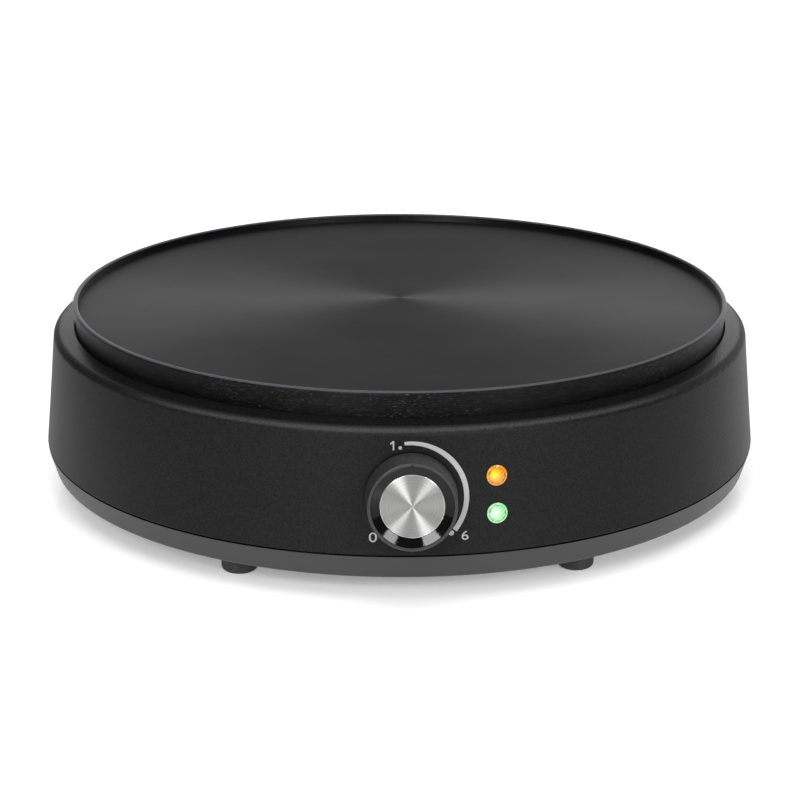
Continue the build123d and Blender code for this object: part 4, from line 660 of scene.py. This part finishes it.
# Colours from the lamp outwards: over the lamp, beside it, ribs, step and rim
for name, lift, colours in (
    ("amber_lens", deck_pitch / 2, ("fff02c", "f6a92c", "c8660a", "8a3a06", "3a0c03")),
    ("green_lens", -deck_pitch / 2, ("eeffee", "b6f6ba", "74c47a", "3f8a46", "0a2c10")),
):
    lens_place = deck @ Matrix.Translation((0, lift, 0))
    glow_plastic, tree, shader, place = new_finish(
        name.split("_")[0] + "_polycarbonate_lit", colours[4], 0.12, {"Emission Strength": 1.0}
    )
    local = add(
        tree, "ShaderNodeMapping",
        {"Vector": place, "Location": lens_place.translation,
         "Rotation": lens_place.to_euler(), "Scale": (lens_radius,) * 3}, vector_type="TEXTURE",
    )
    spot = add(tree, "ShaderNodeSeparateXYZ", {0: local.outputs[0]})
    flat = add(tree, "ShaderNodeCombineXYZ", {0: spot.outputs[0], 1: spot.outputs[1]})
    radius = add(tree, "ShaderNodeVectorMath", {0: flat.outputs[0]}, operation="LENGTH")
    # The lamp sits left of the middle and high: brightest there
    off_lamp = add(tree, "ShaderNodeVectorMath", {0: flat.outputs[0], 1: lamp_spot},
                   operation="DISTANCE")
    bright = add(tree, "ShaderNodeValToRGB", {0: off_lamp.outputs[1]})
    stops = bright.color_ramp.elements
    stops[0].position, stops[0].color = 0.18, linear(colours[0])
    stops[1].position, stops[1].color = 0.75, linear(colours[1])
    # Prisms: ribs 1.4 mm apart, laid at 45 degrees, which show away from the lamp
    mirrored = add(tree, "ShaderNodeVectorMath", {0: flat.outputs[0], 1: (-1, 1, 1)},
                   operation="MULTIPLY")
    ribs = add(
        tree, "ShaderNodeTexWave",
        {"Vector": mirrored.outputs[0], "Scale": 1.5, "Distortion": 0.8, "Detail": 1.0},
        bands_direction="DIAGONAL",
    )
    rib_depth = add(tree, "ShaderNodeMapRange", {0: ribs.outputs[1], 1: 0.3, 2: 0.7, 4: 0.55})
    from_lamp = add(tree, "ShaderNodeMapRange", {0: off_lamp.outputs[1], 1: 0.25, 2: 0.8})
    rib_share = add(tree, "ShaderNodeMath", {0: rib_depth.outputs[0], 1: from_lamp.outputs[0]},
                    operation="MULTIPLY")
    ribbed = add(tree, "ShaderNodeMix",
                 {0: rib_share.outputs[0], 6: bright.outputs[0], 7: linear(colours[2])},
                 data_type="RGBA")
    # Step between dome and rim: a darker ring, broken by the lamp's holder
    ring_zone = add(tree, "ShaderNodeValToRGB", {0: radius.outputs[1]})
    stops = ring_zone.color_ramp.elements
    stops[0].position, stops[0].color = 0.66, (0, 0, 0, 1)
    stops[1].position, stops[1].color = 0.72, (1, 1, 1, 1)
    stops.new(0.78).color = (1, 1, 1, 1)
    stops.new(0.84).color = (0, 0, 0, 1)
    broken = add(tree, "ShaderNodeTexNoise", {"Vector": flat.outputs[0], "Scale": 2.4})
    broken_share = add(tree, "ShaderNodeMapRange",
                       {0: broken.outputs[0], 1: 0.42, 2: 0.58, 3: 0.2, 4: 1.0})
    step_share = add(tree, "ShaderNodeMath", {0: ring_zone.outputs[0], 1: broken_share.outputs[0]},
                     operation="MULTIPLY")
    stepped = add(tree, "ShaderNodeMix",
                  {0: step_share.outputs[0], 6: ribbed.outputs[2], 7: linear(colours[3])},
                  data_type="RGBA")
    rim_share = add(tree, "ShaderNodeMapRange", {0: radius.outputs[1], 1: 0.94, 2: 0.985})
    rimmed = add(tree, "ShaderNodeMix",
                 {0: rim_share.outputs[0], 6: stepped.outputs[2], 7: linear(colours[4])},
                 data_type="RGBA")
    tree.links.new(rimmed.outputs[2], shader.inputs["Emission Color"])
    rib_bump = add(tree, "ShaderNodeBump",
                   {"Height": ribs.outputs[1], "Strength": 0.3, "Distance": 0.0001})
    tree.links.new(rib_bump.outputs[0], shader.inputs["Normal"])
    lens = turn_piece(name + "_domed", {
        "Inner Radius": 0.0, "Outer Radius": lens_radius, "Top": lens_dome, "Dome": 0.0007,
        "Edge": 0.0003, "Side": 0.0007, "Groove Pitch": 1.0, "Around": 97, "Across": 40,
        "Finish": glow_plastic,
    }, lens_place, "base")
    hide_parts(name)

# ---------------------------------------------------------------- baking plate
# Die-cast aluminium plate with an upstanding rim, turned on its bed and wall and sprayed
# with a black non-stick coating (PTFE). Three long screws hold it down from below.
plate_radius, rim_top = 0.16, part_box("baking_plate")[1].z
plate_coat, tree, shader, place = new_finish(
    "ptfe_on_turned_aluminium", "0d0d0e", 0.42,
    {"IOR": 1.22, "Specular IOR Level": 0.4, "Anisotropic": 0.7, "Anisotropic Rotation": 0.25},
)
spot = add(tree, "ShaderNodeSeparateXYZ", {0: place})
flat = add(tree, "ShaderNodeCombineXYZ", {0: spot.outputs[0], 1: spot.outputs[1]})
radius = add(tree, "ShaderNodeVectorMath", {0: flat.outputs[0]}, operation="LENGTH")
# The turning shows through the coat: light is drawn out across the lines, into a soft fan
round_axis = add(tree, "ShaderNodeVectorMath", {0: (0, 0, 1), 1: flat.outputs[0]},
                 operation="CROSS_PRODUCT")
along_line = add(tree, "ShaderNodeVectorTransform", {0: round_axis.outputs[0]},
                 vector_type="VECTOR", convert_from="OBJECT", convert_to="WORLD")
tree.links.new(along_line.outputs[0], shader.inputs["Tangent"])
# Turning lines under the coat: rings about 1.2 mm apart, uneven in depth
turning = add(
    tree, "ShaderNodeTexNoise", {"W": radius.outputs[1], "Scale": 1 / 0.0012, "Detail": 3.0},
    noise_dimensions="1D",
)
# Orange peel of the sprayed coat: 1.5 mm
peel = add(tree, "ShaderNodeTexNoise", {"Vector": place, "Scale": 1 / 0.0015, "Detail": 3.0})
relief = add(tree, "ShaderNodeMath", {0: turning.outputs[0], 1: peel.outputs[0]}, operation="ADD")
coat_bump = add(
    tree, "ShaderNodeBump", {"Height": relief.outputs[0], "Strength": 0.35, "Distance": 0.00006}
)
# Faint scratches that follow the turning, about 5 mm long and half a millimetre wide
scratch_length, scratch_width = 0.005, 0.0005
around = add(tree, "ShaderNodeMath", {0: spot.outputs[0], 1: spot.outputs[1]},
             operation="ARCTAN2")
arc = add(tree, "ShaderNodeMath", {0: around.outputs[0], 1: plate_radius / scratch_length},
          operation="MULTIPLY")
ring_place = add(tree, "ShaderNodeMath", {0: radius.outputs[1], 1: scratch_width},
                 operation="DIVIDE")
height_place = add(tree, "ShaderNodeMath", {0: spot.outputs[2], 1: scratch_width},
                   operation="DIVIDE")
streak_place = add(tree, "ShaderNodeCombineXYZ",
                   {0: arc.outputs[0], 1: ring_place.outputs[0], 2: height_place.outputs[0]})
scratch = add(tree, "ShaderNodeTexNoise",
              {"Vector": streak_place.outputs[0], "Scale": 1.0, "Detail": 2.0})
scratch_share = add(tree, "ShaderNodeMapRange", {0: scratch.outputs[0], 1: 0.5, 2: 0.75, 4: 0.7})
scratch_colour = add(
    tree, "ShaderNodeMix",
    {0: scratch_share.outputs[0], 6: linear("080809"), 7: linear("1b1b1d")}, data_type="RGBA",
)
# Nicks from handling: pale specks in patches some 45 mm wide, on the outer wall and the
# rim only
nick_reach = 0.0025
smear = add(tree, "ShaderNodeTexNoise", {"Vector": place, "Scale": 22.0, "Detail": 3.0})
nick = add(tree, "ShaderNodeTexNoise",
           {"Vector": streak_place.outputs[0], "Scale": 2.2, "Detail": 1.0})
nick_spot = add(tree, "ShaderNodeMapRange", {0: nick.outputs[0], 1: 0.62, 2: 0.72})
nick_patch = add(tree, "ShaderNodeMapRange", {0: smear.outputs[0], 1: 0.4, 2: 0.6})
outer_wall = add(tree, "ShaderNodeMath", {0: radius.outputs[1], 1: plate_radius - nick_reach},
                 operation="GREATER_THAN")
nick_place = add(tree, "ShaderNodeMath", {0: nick_patch.outputs[0], 1: outer_wall.outputs[0]},
                 operation="MULTIPLY")
nick_share = add(tree, "ShaderNodeMath", {0: nick_spot.outputs[0], 1: nick_place.outputs[0]},
                 operation="MULTIPLY")
nick_colour = add(tree, "ShaderNodeMix",
                  {0: nick_share.outputs[0], 6: scratch_colour.outputs[2], 7: linear("4c4c4e")},
                  data_type="RGBA")
# Spatulas wear the rim's lip glossier than the rest; its paler grey is a painted highlight along
# the lip
lip_low, lip_high = rim_top - 0.0007, rim_top - 0.0003
lip_wear_and_highlight = add(tree, "ShaderNodeMapRange", {0: spot.outputs[2], 1: lip_low, 2: lip_high},
          interpolation_type="SMOOTHSTEP")
coat_colour = add(tree, "ShaderNodeMix",
                  {0: lip_wear_and_highlight.outputs[0], 6: nick_colour.outputs[2], 7: linear("404145")},
                  data_type="RGBA")
smear_shade = add(tree, "ShaderNodeMapRange", {0: smear.outputs[0], 3: 0.38, 4: 0.46})
coat_shade = add(tree, "ShaderNodeMix",
                 {0: lip_wear_and_highlight.outputs[0], 2: smear_shade.outputs[0], 3: 0.25})
tree.links.new(coat_colour.outputs[2], shader.inputs["Base Color"])
tree.links.new(coat_bump.outputs[0], shader.inputs["Normal"])
tree.links.new(coat_shade.outputs[0], shader.inputs["Roughness"])
dress(plate_coat, "baking_plate")

# ---------------------------------------------------------------- plate seal, cord inlet
# Soft black mouldings: the silicone ring that the plate's skirt stands on, and the rubber
# bush that holds the mains cord in the rear wall.
for name, colour, roughness, grain_size, nodes in (
    ("moulded_silicone_black", "2c2c2c", 0.55, 0.0012, ("plate_seal",)),
    ("moulded_epdm_black", "1f1f1f", 0.6, 0.0008, ("cord_gland",)),
):
    soft, tree, shader, place = new_finish(name, colour, roughness, {"Specular IOR Level": 0.4})
    bloom = add(tree, "ShaderNodeTexNoise", {"Vector": place, "Scale": 1 / grain_size})
    bloom_shade = add(tree, "ShaderNodeMapRange",
                      {0: bloom.outputs[0], 3: roughness - 0.08, 4: roughness + 0.08})
    bloom_bump = add(tree, "ShaderNodeBump",
                     {"Height": bloom.outputs[0], "Strength": 0.3, "Distance": 0.00006})
    tree.links.new(bloom_shade.outputs[0], shader.inputs["Roughness"])
    tree.links.new(bloom_bump.outputs[0], shader.inputs["Normal"])
    dress(soft, *nodes)

# ---------------------------------------------------------------- metal parts inside
# Heating tube, heat shield, fixings and contacts. Sheet and turned metals as bought: dull
# zinc, plain brass, drawn copper, annealed steel and rolled aluminium.
for name, colour, shade, roughness, grain_size, nodes in (
    ("zinc_plated_steel", "b9bab8", "9ea1a0", 0.34, 0.004,
     ("element_tabs", "plate_spacers", "shield_washers", "plate_screws", "housing_screws",
      "terminal_screws", "thermostat_plate", "thermostat_spindle", "thermostat_screws",
      "bulb_strap", "strap_screws", "fuse_strap", "lens_retainers", "holder_screw",
      "knob_clip")),
    ("stamped_brass", "c9a662", "b08a48", 0.3, 0.003,
     ("earth_tag", "terminal_sleeves", "spindle_bush", "thermostat_tabs", "thermal_fuse",
      "tab_connectors")),
    ("drawn_copper", "c98a63", "9c5f41", 0.32, 0.005, ("sensing_bulb", "capillary_tube")),
    ("annealed_stainless_tube", "6e6a64", "4b4743", 0.45, 0.006, ("heating_element",)),
    ("rolled_aluminium_sheet", "d2d2d0", "bebebc", 0.38, 0.008, ("heat_shield", "fuse_rivets")),
):
    metal, tree, shader, place = new_finish(name, colour, roughness, {"Metallic": 1.0})
    stain = add(tree, "ShaderNodeTexNoise",
                {"Vector": place, "Scale": 1 / grain_size, "Detail": 5.0, "Roughness": 0.6})
    stain_colour = add(tree, "ShaderNodeMix",
                       {0: stain.outputs[0], 6: linear(colour), 7: linear(shade)},
                       data_type="RGBA")
    stain_shade = add(tree, "ShaderNodeMapRange",
                      {0: stain.outputs[0], 3: roughness - 0.08, 4: roughness + 0.1})
    stain_bump = add(tree, "ShaderNodeBump",
                     {"Height": stain.outputs[0], "Strength": 0.2, "Distance": 0.00005})
    tree.links.new(stain_colour.outputs[2], shader.inputs["Base Color"])
    tree.links.new(stain_shade.outputs[0], shader.inputs["Roughness"])
    tree.links.new(stain_bump.outputs[0], shader.inputs["Normal"])
    dress(metal, *nodes)

# ---------------------------------------------------------------- insulating parts inside
# Steatite beads at the heating tube's ends, thermostat case of phenolic, and terminal block,
# lamp holder and splice of natural nylon.
for name, colour, shade, roughness, grain_size, nodes in (
    ("unglazed_steatite", "ece6d6", "d6cfbd", 0.7, 0.001, ("element_insulators",)),
    ("moulded_phenolic_brown", "3a2e26", "2a211b", 0.4, 0.0015, ("thermostat_body",)),
    ("moulded_nylon_natural", "e6e2d6", "d8d2c2", 0.45, 0.004,
     ("terminal_block", "lamp_holder", "lamp_splice")),
):
    insulator, tree, shader, place = new_finish(name, colour, roughness)
    speck = add(tree, "ShaderNodeTexNoise",
                {"Vector": place, "Scale": 1 / grain_size, "Detail": 4.0})
    speck_colour = add(tree, "ShaderNodeMix",
                       {0: speck.outputs[0], 6: linear(colour), 7: linear(shade)},
                       data_type="RGBA")
    speck_bump = add(tree, "ShaderNodeBump",
                     {"Height": speck.outputs[0], "Strength": 0.3, "Distance": 0.00005})
    tree.links.new(speck_colour.outputs[2], shader.inputs["Base Color"])
    tree.links.new(speck_bump.outputs[0], shader.inputs["Normal"])
    dress(insulator, *nodes)

# ---------------------------------------------------------------- wiring inside
# Silicone-insulated wires in the usual colours, clamped or pushed on at their ends, and a
# braided glass sleeve over the thermal fuse.
for name, colour, shade, nodes in (
    ("extruded_silicone_brown", "6b3f22", "5a331a", ("wire_live", "wire_switched")),
    ("extruded_silicone_blue", "2f5fb0", "27519a", ("wire_neutral", "wire_lamps")),
    ("extruded_silicone_green_yellow", "8fae2c", "7c9a25", ("wire_earth",)),
    ("extruded_silicone_white", "dedcd6", "cfcdc5", ("wire_fused", "lamp_leads")),
    ("braided_glass_fibre", "e0dac6", "b9b29c", ("fuse_sleeve",)),
):
    wire, tree, shader, place = new_finish(name, colour, 0.5)
    # Powdering from the drum on the wires, and strands of the braid: under a millimetre
    powder = add(tree, "ShaderNodeTexNoise",
                 {"Vector": place, "Scale": 1 / 0.0009, "Detail": 3.0})
    powder_colour = add(tree, "ShaderNodeMix",
                        {0: powder.outputs[0], 6: linear(colour), 7: linear(shade)},
                        data_type="RGBA")
    powder_bump = add(tree, "ShaderNodeBump",
                      {"Height": powder.outputs[0], "Strength": 0.3, "Distance": 0.00005})
    tree.links.new(powder_colour.outputs[2], shader.inputs["Base Color"])
    tree.links.new(powder_bump.outputs[0], shader.inputs["Normal"])
    dress(wire, *nodes)

# ---------------------------------------------------------------- neon lamps
# Two glass capsules that the lamp holder carries behind the lenses. Sealing leaves a faint
# film on the glass, so its shine varies.
lamp_glass, tree, shader, place = new_finish(
    "sealed_lamp_glass", "f4f0e4", 0.08, {"Transmission Weight": 0.8, "IOR": 1.5}
)
seal_film = add(tree, "ShaderNodeTexNoise", {"Vector": place, "Scale": 1 / 0.002, "Detail": 2.0})
seal_shade = add(tree, "ShaderNodeMapRange", {0: seal_film.outputs[0], 3: 0.04, 4: 0.16})
tree.links.new(seal_shade.outputs[0], shader.inputs["Roughness"])
dress(lamp_glass, "amber_lamp", "green_lamp")

# ---------------------------------------------------------------- camera
# Long lens, about 1.1 m from the middle of the plate's rim, at the height of someone who
# looks down a little on the worktop. It points just below that middle.
view_distance = 1.095
view_azimuth, view_elevation, view_dip, view_roll = -1.69, 15.69, 2.83, 0.07
camera_data = bpy.data.cameras.new("camera")
camera_data.sensor_width = 36.0
camera_data.lens = 99.74
camera_data.shift_x = 0.0006
camera = bpy.data.objects.new("camera", camera_data)
camera.location = (
    Vector((0, 0, rim_top)) + towards_angles(view_azimuth, view_elevation) * view_distance
)
camera.rotation_euler = (
    Matrix.Rotation(math.radians(view_azimuth), 3, "Z")
    @ Matrix.Rotation(math.radians(90 - view_elevation - view_dip), 3, "X")
    @ Matrix.Rotation(math.radians(view_roll), 3, "Z")
).to_euler()
studio.collection.objects.link(camera)
studio.camera = camera
